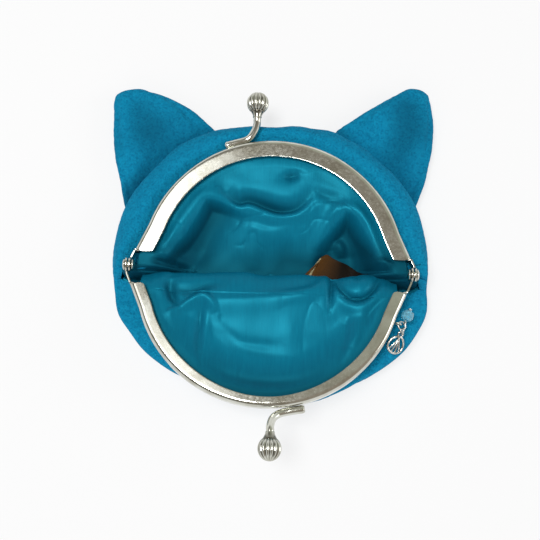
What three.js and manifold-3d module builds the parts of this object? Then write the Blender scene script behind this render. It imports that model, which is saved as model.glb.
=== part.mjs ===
// A plush coin purse with cat's ears and a kiss-lock frame, laid open on its back.
// Millimetres, +Z up. The origin is on the table under the middle of the hinge line,
// +X runs along the hinge line and +Y towards the ears.
import * as THREE from 'three';
import { mergeVertices } from 'three/addons/utils/BufferGeometryUtils.js';
import Module from 'manifold-3d';

const wasm = await Module();
wasm.setup();

// Frame: one nickel-plated steel stamping, used for both halves
const hingeHeight = 16;        // hinge axis above the table
const archRadius = 39.7;       // outer face of the rim on the round part
const archRise = 0.9;          // centre of the arch in front of the hinge axis
const legStartDeg = 18;        // where the arch runs out into its straight legs
const legFlareDeg = 24;        // lean of the legs
const channelDepth = 5.2;      // from the rim to the free edges of the walls
const channelThickness = 5;    // over both walls at the rim
const channelSheet = 0.5;      // sheet metal of the channel
const wallPinch = 0.4;         // how far each wall leans in at its free edge
const wallEnd = 4.5;           // distance of the walls' ends from the hinge axis
const halvesGap = 0.3;         // between the closed halves
const layOpenDeg = 8;          // rise of the front half above flat when laid open

// Hinge: an eye at the end of each leg, inner and outer, with a rivet through both
const eyeRadius = 2.2;
const eyePlate = 0.6;
const eyeInset = 2.12;         // from the legs' line at the hinge to the inner eye
const eyeGap = 0.4;            // between the two eyes
const rivetRadius = 0.9;
const rivetPlay = 0.2;         // round the rivet in its eyes
const rivetHeadRadius = 1.8;
const rivetHeadHeight = 0.75;
const rivetHeadGap = 0.3;      // between a head and its eye

// Clasp: a bent stem brazed to each rim, with a ball on it
const ballRadius = 3.4;
const ballStandOff = 12.3;     // from the rim's radius to the ball's centre
const ballSpacing = 7.3;       // between the balls along the hinge line when shut
const ballMiddle = -2.25;      // middle of the two balls along the hinge line
const stemRadius = 1.15;
const stemTailRadius = 0.7;    // the flattened tail along the rim
const stemTailLength = 7;
const collarRadius = 1.9;      // flare under the ball
const collarLength = 1.3;

// Cloth
const plush = 1.6;             // plush with its pile pressed
const plushTongue = 0.6;       // plush pressed flat inside a channel
const lining = 0.35;
const clothGap = 0.3;          // between neighbouring layers
const seat = 0.3;              // between a piece and what it seats on
const paperCordRadius = 0.55;
const paperCordInset = 2.6;    // from the rim to the cord's middle
const clothInset = 1.4;        // from the rim to the cloth's edge in the channel
const cordDepth = 1.75;        // below the plane between the halves
const seamHeight = 6.3;        // side seam above the table
const floorHeight = 3.5;       // underside of the lining on the pouch's floor
const softTurnDeg = 2.3;       // the soft head lies turned a little in the frame
const lipInset = 5.7;          // from the arch's radius to the ends of the folded lip
const flatReach = 20;          // first ring of the plush panel's grid, all flat
const liningRings = [12, 21, 29];   // rings of the lining's grid inside its rising edge
const labelCorner = [10.5, -3.5];
const labelSize = [16, 11];

// Ears
const earBaseLowDeg = 25;      // lower end of an ear's seam, from the hinge line
const earBaseHighDeg = 66;     // upper end of an ear's seam
const earTipDeg = 53.2;        // direction of the tip, from the hinge line
const earTipOut = 36.96;       // from the arch's radius to the tip
const earTipHalfWidth = 3.8;
const earBow = 2.8;            // how far the outer edge bows out
const earPanel = 1.4;
const earMidBase = 6.6;        // middle of the ear above the table at its seam
const earMidTip = 4.6;
const earSwell = 1.7;          // how far each panel swells out
const earDish = 0.9;           // hollow in the middle of the front panel

// Charm
const lugAtDeg = 19;           // place on the rim, from the hinge line
const lugDepth = 3.6;          // below the plane between the halves
const lugRing = [0.8, 0.25];   // ring radius and wire radius
const mainRing = [1.2, 0.22];
const pinEye = [0.6, 0.16];
const linkRing = [1, 0.18];
const linkSlack = 0.4;         // the link hangs this far off the middle of the ring's wire
const beadRadius = 1.85;
const beadLength = 3.2;
const beadBore = 0.42;
const charmSize = [6.4, 5.4];
const charmPlate = 0.9;

const deg = Math.PI / 180;
const up = new THREE.Vector3(0, 0, 1);
const rimTop = -halvesGap / 2;
const rimBottom = rimTop - channelThickness;
const layOpen = layOpenDeg * deg;
const halfShift = (eyePlate + eyeGap) / 2;   // each half sits this far to its own right
const ballReach = archRadius + ballStandOff;
const softTurn = softTurnDeg * deg;

// Materials

function material(color, roughness, metalness) {
  return new THREE.MeshStandardMaterial({ color, roughness, metalness });
}

const nickel = material('#b9bab4', 0.25, 1);
const plushCloth = material('#0e80ad', 1, 0);
const satin = material('#1c8aa6', 0.45, 0);
const waddingWhite = material('#e6e6e0', 1, 0);
const paper = material('#c9b892', 0.9, 0);
const aqua = material('#6fd2f0', 0.15, 0);
const brownCloth = material('#5a3a26', 0.7, 0);

// Meshes and solids

function mesh(name, geometry, look) {
  const piece = new THREE.Mesh(geometry, look);
  piece.name = name;
  return piece;
}

// Joins equal-length rings of points into one closed body. A ring's end is closed by
// the triangles of its flat section, or by a single pole point.
function loft(rings, section, poles = []) {
  const count = rings[0].length;
  const position = rings.flat().flatMap((p) => [p.x, p.y, p.z]);
  const index = [];
  for (let r = 0; r + 1 < rings.length; r++) {
    for (let i = 0; i < count; i++) {
      const a = r * count + i;
      const b = r * count + (i + 1) % count;
      index.push(a, b, b + count, a, b + count, a + count);
    }
  }
  const last = (rings.length - 1) * count;
  if (section) {
    const clockwise = THREE.ShapeUtils.isClockWise(section);
    for (const [a, m, n] of THREE.ShapeUtils.triangulateShape(section, [])) {
      const [b, c] = clockwise ? [n, m] : [m, n];
      index.push(a, c, b, last + a, last + b, last + c);
    }
  }
  poles.forEach((pole, end) => {
    const tip = position.length / 3;
    const base = end ? last : 0;
    position.push(pole.x, pole.y, pole.z);
    for (let i = 0; i < count; i++) {
      const next = (i + 1) % count;
      if (end) index.push(base + i, base + next, tip);
      else index.push(base + next, base + i, tip);
    }
  });
  const geometry = new THREE.BufferGeometry();
  geometry.setAttribute('position', new THREE.Float32BufferAttribute(position, 3));
  geometry.setIndex(index);
  return outward(geometry);
}

// Turns all faces round if the body is inside out
function outward(geometry) {
  const p = geometry.attributes.position;
  const index = geometry.index.array;
  const [a, b, c] = [new THREE.Vector3(), new THREE.Vector3(), new THREE.Vector3()];
  let volume = 0;
  for (let i = 0; i < index.length; i += 3) {
    a.fromBufferAttribute(p, index[i]);
    b.fromBufferAttribute(p, index[i + 1]);
    c.fromBufferAttribute(p, index[i + 2]);
    volume += a.dot(b.cross(c));
  }
  if (volume < 0) {
    for (let i = 0; i < index.length; i += 3) {
      [index[i], index[i + 1]] = [index[i + 1], index[i]];
    }
  }
  return geometry;
}

function toSolid(geometry) {
  const bare = geometry.clone();
  bare.deleteAttribute('normal');
  bare.deleteAttribute('uv');
  const merged = mergeVertices(bare, 1e-4);
  return new wasm.Manifold(new wasm.Mesh({
    numProp: 3,
    vertProperties: new Float32Array(merged.attributes.position.array),
    triVerts: new Uint32Array(merged.index.array),
  }));
}

function fromSolid(solid) {
  const result = solid.getMesh();
  const geometry = new THREE.BufferGeometry();
  geometry.setAttribute('position', new THREE.BufferAttribute(result.vertProperties, 3));
  geometry.setIndex(new THREE.BufferAttribute(result.triVerts, 1));
  return geometry;
}

function box(low, high) {
  const size = high.map((value, i) => value - low[i]);
  const middle = high.map((value, i) => (value + low[i]) / 2);
  return new THREE.BoxGeometry(...size).translate(...middle);
}

// A wire or tape along a list of points, with a radius at each
function wire(points, radii, sides) {
  const rings = points.map((point, i) => {
    const before = points[Math.max(i - 1, 0)];
    const after = points[Math.min(i + 1, points.length - 1)];
    const along = after.clone().sub(before).normalize();
    const across = new THREE.Vector3().crossVectors(along, up).normalize();
    const above = new THREE.Vector3().crossVectors(across, along);
    return Array.from({ length: sides }, (_, k) => {
      const turn = (k / sides) * 2 * Math.PI;
      return point.clone()
        .addScaledVector(across, radii[i] * Math.cos(turn))
        .addScaledVector(above, radii[i] * Math.sin(turn));
    });
  });
  return loft(rings, circleSection(sides));
}

function circleSection(sides) {
  return Array.from({ length: sides }, (_, k) => {
    const turn = (k / sides) * 2 * Math.PI;
    return new THREE.Vector2(Math.cos(turn), Math.sin(turn));
  });
}

// A ring of wire round an axis at a place
function ring([radius, wireRadius], centre, axis, segments = 20) {
  const torus = new THREE.TorusGeometry(radius, wireRadius, 7, segments);
  torus.applyQuaternion(new THREE.Quaternion().setFromUnitVectors(up, axis));
  return torus.translate(centre.x, centre.y, centre.z);
}

// The arch of one frame half, in its own frame: the hinge axis is X, +Y runs to the
// crest and the other half closes down on z = 0

const legStart = new THREE.Vector2(
  archRadius * Math.cos(legStartDeg * deg),
  archRise + archRadius * Math.sin(legStartDeg * deg),
);
const legSlope = Math.tan(legFlareDeg * deg);

function legX(y) {
  return legStart.x + (legStart.y - y) * legSlope;
}

const innerEyeX = legX(0) - eyeInset;        // inner face of the inner eye, from the middle
const eyeX = innerEyeX + halfShift;          // the same for any eye in a half's own frame

// Points along the rim, inset by a distance, from the right leg to the left one
function rimPath(inset, endY, arcSteps) {
  const points = [];
  const lean = inset / Math.cos(legFlareDeg * deg);
  points.push(new THREE.Vector2(legX(endY) - lean, endY));
  for (let i = 0; i <= arcSteps; i++) {
    const turn = (legStartDeg + (180 - 2 * legStartDeg) * (i / arcSteps)) * deg;
    const radius = archRadius - inset;
    points.push(new THREE.Vector2(radius * Math.cos(turn), archRise + radius * Math.sin(turn)));
  }
  points.push(new THREE.Vector2(-legX(endY) + lean, endY));
  return points;
}

// Distance from the origin to the rim, in a direction measured from the hinge line
function rimReach(angle) {
  const sine = Math.sin(angle);
  const cosine = Math.abs(Math.cos(angle));
  const onArc = archRise * sine + Math.sqrt(archRadius ** 2 - (archRise * cosine) ** 2);
  const onLeg = (legStart.x + legStart.y * legSlope) / (cosine + legSlope * sine);
  return onArc * sine >= legStart.y ? onArc : onLeg;
}

function channelSection() {
  const free = -channelDepth;
  const soft = 0.8;
  return [
    [free, rimTop - wallPinch], [-soft, rimTop], [-0.25, rimTop - 0.2], [0, rimTop - soft],
    [0, rimBottom + soft], [-0.25, rimBottom + 0.2], [-soft, rimBottom],
    [free, rimBottom + wallPinch], [free, rimBottom + wallPinch + channelSheet],
    [-soft - 0.1, rimBottom + channelSheet], [-channelSheet, rimBottom + soft + 0.15],
    [-channelSheet, rimTop - soft - 0.15], [-soft - 0.1, rimTop - channelSheet],
    [free, rimTop - wallPinch - channelSheet],
  ].map(([n, z]) => new THREE.Vector2(n, z));
}

function channelSweep() {
  const section = channelSection();
  const path = rimPath(0, wallEnd - 2, 30);
  const rings = path.map((point, i) => {
    const before = path[Math.max(i - 1, 0)];
    const after = path[Math.min(i + 1, path.length - 1)];
    const along = after.clone().sub(before).normalize();
    const out = new THREE.Vector2(along.y, -along.x);
    return section.map((s) => new THREE.Vector3(point.x + out.x * s.x, point.y + out.y * s.x, s.y));
  });
  return loft(rings, section);
}

// The strip that runs on from the rim to a hinge eye, on the side x > 0
function tabStrip() {
  const near = wallEnd + 2.2;
  const bend = wallEnd + 0.1;
  const flat = eyeRadius + 0.15;
  const outer = [[legX(near), near], [legX(bend), bend], [eyeX + eyePlate, flat],
    [eyeX + eyePlate, -eyeRadius - 1]];
  const inner = [[eyeX, -eyeRadius - 1], [eyeX, flat + 0.2], [legX(bend) - eyePlate, bend + 0.2],
    [legX(near) - eyePlate, near]];
  const outline = new THREE.Shape([...outer, ...inner].map(([x, y]) => new THREE.Vector2(x, y)));
  const depth = eyeRadius - rimBottom;
  const strip = new THREE.ExtrudeGeometry(outline, { depth, bevelEnabled: false });
  return toSolid(strip.translate(0, 0, rimBottom));
}

// Side view of a tab: the rim's width, narrowing to the round eye
function tabProfile() {
  const outline = new THREE.Shape();
  const near = wallEnd + 3;
  const topTurn = Math.asin(rimTop / eyeRadius);
  outline.moveTo(near, rimBottom + 0.5);
  outline.lineTo(near, rimTop);
  outline.lineTo(eyeRadius * Math.cos(topTurn), rimTop);
  outline.absarc(0, 0, eyeRadius, topTurn, 1.45 * Math.PI, false);
  outline.lineTo(wallEnd, rimBottom + 0.5);
  const depth = archRadius / 2;
  const bar = new THREE.ExtrudeGeometry(outline, { depth, bevelEnabled: false, curveSegments: 20 });
  // the outline's x and y become y and z
  bar.rotateX(Math.PI / 2).rotateZ(Math.PI / 2).translate(1.5 * depth, 0, 0);
  return toSolid(bar);
}

function frameHalf() {
  const big = 3 * archRadius;
  let half = toSolid(channelSweep());
  half = half.intersect(toSolid(box([-big, wallEnd, -big], [big, big, big])));
  const profile = tabProfile();
  const tab = tabStrip().intersect(profile);
  half = half.add(tab).add(tab.mirror([1, 0, 0]));
  const hole = new THREE.CylinderGeometry(rivetRadius + rivetPlay, rivetRadius + rivetPlay, 4 * big, 20);
  return fromSolid(half.subtract(toSolid(hole.rotateZ(Math.PI / 2))));
}

// A rivet through both eyes on the side x > 0
function hingeRivet() {
  const outerFace = innerEyeX + 2 * eyePlate + eyeGap + rivetHeadGap;
  const innerFace = innerEyeX - rivetHeadGap;
  const head = rivetHeadRadius;
  const high = rivetHeadHeight;
  const profile = [
    [0, innerFace - high], [head * 0.7, innerFace - high * 0.85], [head, innerFace - high * 0.3],
    [head, innerFace], [rivetRadius, innerFace], [rivetRadius, outerFace], [head, outerFace],
    [head, outerFace + high * 0.3], [head * 0.7, outerFace + high * 0.85], [0, outerFace + high],
  ].map(([r, x]) => new THREE.Vector2(r, x));
  return new THREE.LatheGeometry(profile, 16).rotateZ(-Math.PI / 2);
}

// The paper cord that wedges the cloth in a channel
function paperCord() {
  const path = rimPath(paperCordInset, wallEnd + 0.6, 30)
    .map((p) => new THREE.Vector3(p.x, p.y, -cordDepth));
  return wire(path, path.map(() => paperCordRadius), 8);
}

// The stem: its tail runs along the rim, then it bends outwards to the ball at ballX.
// side is 1 where the tail lies to the left of the ball.
function claspStem(ballX, side) {
  const tailReach = archRadius + seat + stemTailRadius;
  const bendReach = archRadius + seat + stemRadius;
  const bendX = ballX - side * 2.6;
  const tail = (x, reach) => new THREE.Vector3(
    x,
    archRise + Math.sqrt(reach ** 2 - x ** 2),
    (rimTop + rimBottom) / 2,
  );
  const collarEnd = ballReach - ballRadius - collarLength - seat;
  const foot = bendReach + archRise;
  const rise = collarEnd - foot;
  const route = new THREE.CatmullRomCurve3([
    tail(bendX - side * stemTailLength, tailReach),
    tail(bendX - (side * stemTailLength) / 2, tailReach + 0.4),
    tail(bendX, bendReach + 0.1),
    new THREE.Vector3(ballX - side * 0.7, foot + 0.28 * rise, -1.7),
    new THREE.Vector3(ballX, foot + 0.69 * rise, -0.6),
    new THREE.Vector3(ballX, collarEnd - 0.2 * rise, 0),
  ], false, 'centripetal');
  const steps = 20;
  const points = route.getSpacedPoints(steps);
  points[steps].set(ballX, collarEnd - 0.22 * rise, 0);
  points.push(new THREE.Vector3(ballX, collarEnd - 0.08 * rise, 0));
  points.push(new THREE.Vector3(ballX, collarEnd, 0));
  const radii = points.map((_, i) => {
    const thick = THREE.MathUtils.smoothstep(i / steps, 0, 0.45);
    return THREE.MathUtils.lerp(stemTailRadius, stemRadius, thick);
  });
  return wire(points, radii, 9);
}

// Ball with its collar, the collar towards the hinge
function claspBall(ballX) {
  const profile = [];
  const neck = Math.asin(collarRadius / ballRadius);
  profile.push(new THREE.Vector2(0, -ballRadius - collarLength));
  profile.push(new THREE.Vector2(stemRadius + 0.1, -ballRadius - collarLength));
  const steps = 12;
  for (let i = 0; i <= steps; i++) {
    const turn = neck + (Math.PI - neck) * (i / steps);
    profile.push(new THREE.Vector2(ballRadius * Math.sin(turn), -ballRadius * Math.cos(turn)));
  }
  profile[profile.length - 1].x = 0;
  return new THREE.LatheGeometry(profile, 20).translate(ballX, ballReach, 0);
}

// The soft head

// How far the head stands out past the arch's radius, in steps from the chin (-90) to
// the top (90), the same on both sides
const headOutline = [[-90, 0.5], [-57, 1.1], [-50, 1.7], [-44, 3], [-38, 4.3], [-30, 6.1],
  [-22, 7.4], [-15, 8.7], [-6, 8.4], [2, 8.8], [12, 9.7], [25, 10.3], [45, 10.3], [65, 10.3],
  [76, 9.2], [90, 8.2]];

// Distance from the origin to the head's outline
function headReach(angle) {
  const turned = angle - softTurn;
  const lift = Math.asin(THREE.MathUtils.clamp(Math.sin(turned), -1, 1)) / deg;
  let i = 0;
  while (i < headOutline.length - 2 && lift > headOutline[i + 1][0]) i++;
  const [a0, r0] = headOutline[i];
  const [a1, r1] = headOutline[i + 1];
  const before = i > 0 ? headOutline[i - 1] : [2 * a0 - a1, r1];
  const after = i + 2 < headOutline.length ? headOutline[i + 2] : [2 * a1 - a0, r0];
  const slope0 = (r1 - before[1]) / (a1 - before[0]);
  const slope1 = (after[1] - r0) / (after[0] - a0);
  const t = (lift - a0) / (a1 - a0);
  const span = a1 - a0;
  return archRadius
    + (2 * t ** 3 - 3 * t ** 2 + 1) * r0 + (t ** 3 - 2 * t ** 2 + t) * span * slope0
    + (-2 * t ** 3 + 3 * t ** 2) * r1 + (t ** 3 - t ** 2) * span * slope1;
}

// Angles round the head, close together where the cloth runs from the side seam
// into the channel
const sideLift = [-4, -1, 1.5];
const liftSteps = [-90, -76, -62, -50, -39, -30, -22, -14, ...sideLift, 5.3, 12, 21, 31, 42, 54, 66,
  78, 90];

function liftOf(angle) {
  return Math.asin(THREE.MathUtils.clamp(Math.sin(angle), -1, 1)) / deg;
}

function anglesRound() {
  const right = liftSteps.map((lift) => lift * deg);
  const left = liftSteps.slice(1, -1).reverse().map((lift) => Math.PI - lift * deg);
  return [...right, ...left];
}

// The cloth's section changes from the pouch's to the back half's in two steps: it first
// rises beside the hinge, and then draws in under the hinge eye
function sectionAt(angle, pouch, side, back) {
  const lift = liftOf(angle);
  const blend = (a, b, share) => a.map((point, i) => (
    point.map((value, k) => value + (b[i][k] - value) * share)));
  if (lift <= sideLift[0]) return pouch;
  const [low, middle, high] = sideLift;
  if (lift < middle) return blend(pouch, side, (lift - low) / (middle - low));
  if (lift < high) return blend(side, back, (lift - middle) / (high - middle));
  return back;
}

// A sheet that goes round the origin: profile(angle) gives [reach, height, thickness]
// from near the middle to the edge, and the middle is closed by poles
function roundSheet(profile, middleHeight, thickness) {
  const angles = anglesRound();
  const sides = angles.map((angle) => {
    const line = profile(angle);
    const under = [];
    const over = [];
    line.forEach(([reach, height, thick], i) => {
      const before = line[Math.max(i - 1, 0)];
      const after = line[Math.min(i + 1, line.length - 1)];
      const along = new THREE.Vector2(after[0] - before[0], after[1] - before[1]).normalize();
      const offset = thick / 2;
      over.push([reach - along.y * offset, height + along.x * offset]);
      under.push([reach + along.y * offset, height - along.x * offset]);
    });
    return [...under, ...over.reverse()];
  });
  const rings = sides[0].map((_, level) => angles.map((angle, k) => {
    const [reach, height] = sides[k][level];
    return new THREE.Vector3(reach * Math.cos(angle), reach * Math.sin(angle), height);
  }));
  const poles = [
    new THREE.Vector3(0, 0, middleHeight - thickness / 2),
    new THREE.Vector3(0, 0, middleHeight + thickness / 2),
  ];
  return loft(rings, null, poles);
}

const channelFloor = hingeHeight + rimBottom;         // underside of the flat channel
const tongueHeight = hingeHeight - 3.55;              // middle of the plush in the channel
const liningInChannel = hingeHeight - 2.775;          // middle of the lining in the channel

// The back panel: flat on the table, bulging at the side; round the back half it rolls
// over outside the frame, runs back under it and is tucked into the channel
function backPlushProfile(angle) {
  const head = headReach(angle);
  const rim = channelReach(angle);
  const wall = rim - channelDepth - 0.3;
  const half = plush / 2;
  const pouch = [
    [flatReach, half, plush], [head - 9, half, plush], [head - 3.6, half + 0.3, plush],
    [head - 1.6, half + 1.5, plush], [head - 0.9, half + 3, plush], [head - half, 4.6, plush],
    [head - half, 5, plush], [head - half, 5.3, plush], [head - half, 5.6, plush],
    [head - half, 5.9, plush], [head - half, seamHeight, plush],
  ];
  const side = [
    [flatReach, half, plush], [head - 9, half, plush], [head - 3.6, half + 0.3, plush],
    [head - 1.4, half + 1.9, plush], [head - 0.8, 5.5, 1.4], [head - 0.9, 7.5, 1.2],
    [head - 1, 9.1, 1.1], [head - 1.05, 9.8, 1], [head - 1.1, 10.4, 0.9],
    [head - 1.15, 11, 0.8], [head - 1.2, tongueHeight - 1, 0.7],
  ];
  const under = channelFloor - clothGap - 0.45;
  const roll = [
    [flatReach, half, plush], [head - 9, half, plush], [head - 3.6, half + 0.3, plush],
    [head - 1.2, half + 2.2, plush], [head - half, 6.2, plush], [head - 2, 9.4, plush],
    [rim + 2.6, under + 0.7, 1.3], [rim - 0.5, under - 0.1, 0.9], [wall - 0.9, under + 0.1, 0.7],
    [wall - 0.95, tongueHeight - 0.35, plushTongue], [rim - clothInset, tongueHeight, plushTongue],
  ];
  return sectionAt(angle, pouch, side, roll);
}

function backPlushPanel() {
  return roundSheet(backPlushProfile, plush / 2, plush);
}

// The back lining: the pouch's floor, cupped at its seam, rising to the channel round
// the back half and running level into it
function backLiningProfile(angle) {
  const head = headReach(angle) - plush;
  const low = floorHeight;
  const seam = seamHeight - 1;
  const rise = liningInChannel - low;
  const [first, second, third] = liningRings;
  const pouch = [[first, low], [second, low], [third, low], [head - 9, low], [head - 6, low + 0.3],
    [head - 3.4, low + 1.4], [head - 2, seam], [head - 1.9, seam + 0.2]];
  const side = [[first, low + 0.02 * rise], [second, low + 0.12 * rise], [third, low + 0.36 * rise],
    [head - 9, low + 0.6 * rise], [head - 6, low + 0.78 * rise], [head - 3.4, liningInChannel - 1],
    [head - 2.4, liningInChannel - 1], [head - 1.9, liningInChannel - 1]];
  const rim = channelReach(angle);
  const edge = rim - channelDepth - 2;
  const back = [[first, low + 0.05 * rise], [second, low + 0.24 * rise], [0.93 * third, low + 0.46 * rise],
    [edge - 3.2, low + 0.74 * rise], [edge - 1.2, low + 0.9 * rise], [edge, liningInChannel],
    [edge + 2.3, liningInChannel], [rim - clothInset, liningInChannel]];
  return sectionAt(angle, pouch, side, back).map((point) => [...point, lining]);
}

function backLining() {
  return roundSheet(backLiningProfile, floorHeight, lining);
}

// Height of the back lining's middle line
function backLiningHeight(angle, reach) {
  const line = [[0, floorHeight], ...backLiningProfile(angle)];
  let i = 0;
  while (i < line.length - 2 && reach > line[i + 1][0]) i++;
  const share = (reach - line[i][0]) / (line[i + 1][0] - line[i][0]);
  return line[i][1] + (line[i + 1][1] - line[i][1]) * Math.min(share, 1);
}

// Distance to the rim, held at the channel's ends beyond them
function channelReach(angle) {
  return rimReach(Math.max(Math.asin(Math.sin(angle)), 5 * deg)) + halfShift * Math.cos(angle);
}

// Wadding fills the space between the back plush and the lining
function waddingProfile(angle) {
  const head = headReach(angle);
  const rim = channelReach(angle);
  const low = plush + clothGap;
  const ceiling = channelFloor - 2 * clothGap - 1.15;
  const under = clothGap + 0.25 + lining / 2;
  const over = backLiningProfile(angle)
    .map(([reach, height]) => [reach, Math.min(height - under, ceiling)]);
  const outer = head - plush - clothGap;
  const [near, second, third, fourth] = over;
  const pouch = [[flatReach, low], [head - 9, low], [head - 7.4, low + 0.1], [head - 6.9, low + 0.3],
    [head - 6.9, low + 0.5], [head - 7.6, fourth[1] - 0.1], fourth, third, second, near];
  const side = [[flatReach, low], [head - 9, low], [outer - 3, low + 0.7], [outer - 1.2, 4.6],
    [outer - 1.1, 6.4], [outer - 2.2, 8.2], fourth, [third[0], third[1] - 1],
    [second[0], second[1] - 0.8], near];
  const roll = [[flatReach, low], [head - 9, low], [outer - 2.4, low + 1.1], [outer - 0.7, 5.6],
    [outer - 1.2, 7.6], [rim - 1, ceiling], fourth,
    third, second, near];
  return sectionAt(angle, pouch, side, roll);
}

function backWadding() {
  const angles = anglesRound();
  const sides = angles.map(waddingProfile);
  const rings = sides[0].map((_, level) => angles.map((angle, k) => {
    const [reach, height] = sides[k][level];
    return new THREE.Vector3(reach * Math.cos(angle), reach * Math.sin(angle), height);
  }));
  const poles = [
    new THREE.Vector3(0, 0, plush + clothGap),
    new THREE.Vector3(0, 0, floorHeight - lining / 2 - clothGap),
  ];
  return loft(rings, null, poles);
}

// A plate between a lower and an upper surface over a grid: place(u, v) gives x and y,
// low and high give the heights there
function plate(columns, rows, place, low, high) {
  const grid = (height) => Array.from({ length: rows + 1 }, (_, j) => (
    Array.from({ length: columns + 1 }, (__, i) => {
      const [x, y] = place(i / columns, j / rows);
      return new THREE.Vector3(x, y, height(x, y, i / columns, j / rows));
    })));
  const lower = grid(low);
  const upper = grid(high);
  const rings = lower.map((row, j) => [...row, ...upper[j].slice().reverse()]);
  const position = rings.flat().flatMap((p) => [p.x, p.y, p.z]);
  const count = rings[0].length;
  const index = [];
  for (let j = 0; j < rows; j++) {
    for (let i = 0; i < count; i++) {
      const a = j * count + i;
      const b = j * count + (i + 1) % count;
      index.push(a, b, b + count, a, b + count, a + count);
    }
  }
  for (const j of [0, rows]) {
    for (let i = 0; i < columns; i++) {
      const [a, b] = [j * count + i, j * count + i + 1];
      const [c, d] = [j * count + count - 2 - i, j * count + count - 1 - i];
      if (j) index.push(a, b, c, a, c, d);
      else index.push(a, c, b, a, d, c);
    }
  }
  const geometry = new THREE.BufferGeometry();
  geometry.setAttribute('position', new THREE.Float32BufferAttribute(position, 3));
  geometry.setIndex(index);
  return outward(geometry);
}

// Half a disc between a straight lip and a curved edge: edge(u) gives the far point
function halfDisc(lipHalf, lipY, edge) {
  return (u, v) => {
    const x = (2 * u - 1) * lipHalf;
    const far = edge(u);
    return [x + (far[0] - x) * v, lipY + (far[1] - lipY) * v];
  };
}

// Top of the pouch as it lies, kept under the laid-open front half
function pouchTop(x, y) {
  const reach = Math.hypot(x, y) / headReach(Math.atan2(y, x));
  const crown = channelFloor - 0.45 + 0.9 * Math.tan(layOpen) * Math.abs(y);
  const swell = Math.sqrt(Math.max(0, 1 - Math.min(reach, 1) ** 6));
  return seamHeight + clothGap + 0.5 + (crown - seamHeight - clothGap - 0.5) * swell;
}

const lipHalf = archRadius - lipInset;
const pouchLipY = -1;
const pouchSideDeg = 7;        // where the pouch's side seam starts below the hinge line

function pouchEdge(inset) {
  return (u) => {
    const angle = (-180 + pouchSideDeg + (180 - 2 * pouchSideDeg) * u) * deg;
    const reach = headReach(angle) - inset;
    return [reach * Math.cos(angle), reach * Math.sin(angle)];
  };
}

function pouchFrontPlush() {
  const place = halfDisc(lipHalf, pouchLipY, pouchEdge(0.1));
  const low = (x, y) => Math.max(pouchTop(x, y) - plush, seamHeight + clothGap);
  return plate(26, 9, (u, v) => place(u, Math.sqrt(v)), low, pouchTop);
}

function pouchFrontLining() {
  const inset = plush + 2;
  const place = halfDisc(lipHalf - 2, pouchLipY - 0.3, pouchEdge(inset));
  const high = (x, y) => pouchTop(x, y) - plush - clothGap;
  const low = (x, y) => high(x, y) - lining;
  return plate(20, 7, (u, v) => place(u, Math.sqrt(v)), low, high);
}

// The flap in the front half's own frame, glued into its channel and folded at the lip
const flapLipY = 0.7;
const flapSag = 0.5;
const flapRows = [0, 0.07, 0.16, 0.34, 0.56, 0.8, 1];   // up to where the channel presses it

function flapEdge(inset) {
  return (u) => {
    const lowest = 7 * deg;
    const angle = Math.PI - lowest - (Math.PI - 2 * lowest) * u;
    const reach = rimReach(angle) - inset;
    return [reach * Math.cos(angle), reach * Math.sin(angle)];
  };
}

// Height of the flap's lining above the plane between the halves, at a share of the
// way from the lip to the channel's mouth
function flapHeight(share) {
  const sag = flapSag * Math.sin(Math.PI * share);
  const fold = 1.3 * Math.max(0, 1 - share / 0.12) ** 2;
  return liningInChannel - hingeHeight - sag - fold;
}

// The flap's grid: rows from the lip to the channel's mouth, then two inside it
function flapGrid(firstRow) {
  const flat = halfDisc(lipHalf, flapLipY, flapEdge(clothInset));
  const rows = flapRows.length + 2;
  // the share of the way where the cloth is a given distance from the rim
  const shareAt = (u, distance) => {
    let share = 1;
    for (; share > 0.12; share -= 0.01) {
      const [x, y] = flat(u, share);
      if (rimReach(Math.atan2(y, x)) - Math.hypot(x, y) > distance) return share;
    }
    return share;
  };
  const share = (u, row) => {
    const open = shareAt(u, channelDepth + 1.8);
    if (row < flapRows.length) return open * flapRows[row];
    return row < rows - 1 ? Math.max(open + 0.03, shareAt(u, channelDepth + 1)) : 1;
  };
  const rowOf = (v) => firstRow + Math.round(v * (rows - 1 - firstRow));
  return {
    steps: rows - 1 - firstRow,
    place: (u, v) => flat(u, share(u, rowOf(v))),
    middle: (v) => flapHeight(flapRows[rowOf(v)] ?? 1),
    pressed: (v) => rowOf(v) >= flapRows.length,
  };
}

function frontFlapLining() {
  const grid = flapGrid(0);
  const low = (x, y, u, v) => grid.middle(v) - lining / 2;
  return plate(22, grid.steps, grid.place, low, (x, y, u, v) => low(x, y, u, v) + lining);
}

// The plush starts a little behind the fold, and is pressed thin inside the channel
function frontFlapPlush() {
  const grid = flapGrid(2);
  const high = (x, y, u, v) => grid.middle(v) - lining / 2 - clothGap;
  const low = (x, y, u, v) => high(x, y, u, v) - (grid.pressed(v) ? plushTongue : plush - 0.2);
  return plate(22, grid.steps, grid.place, low, high);
}

// Ears

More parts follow.
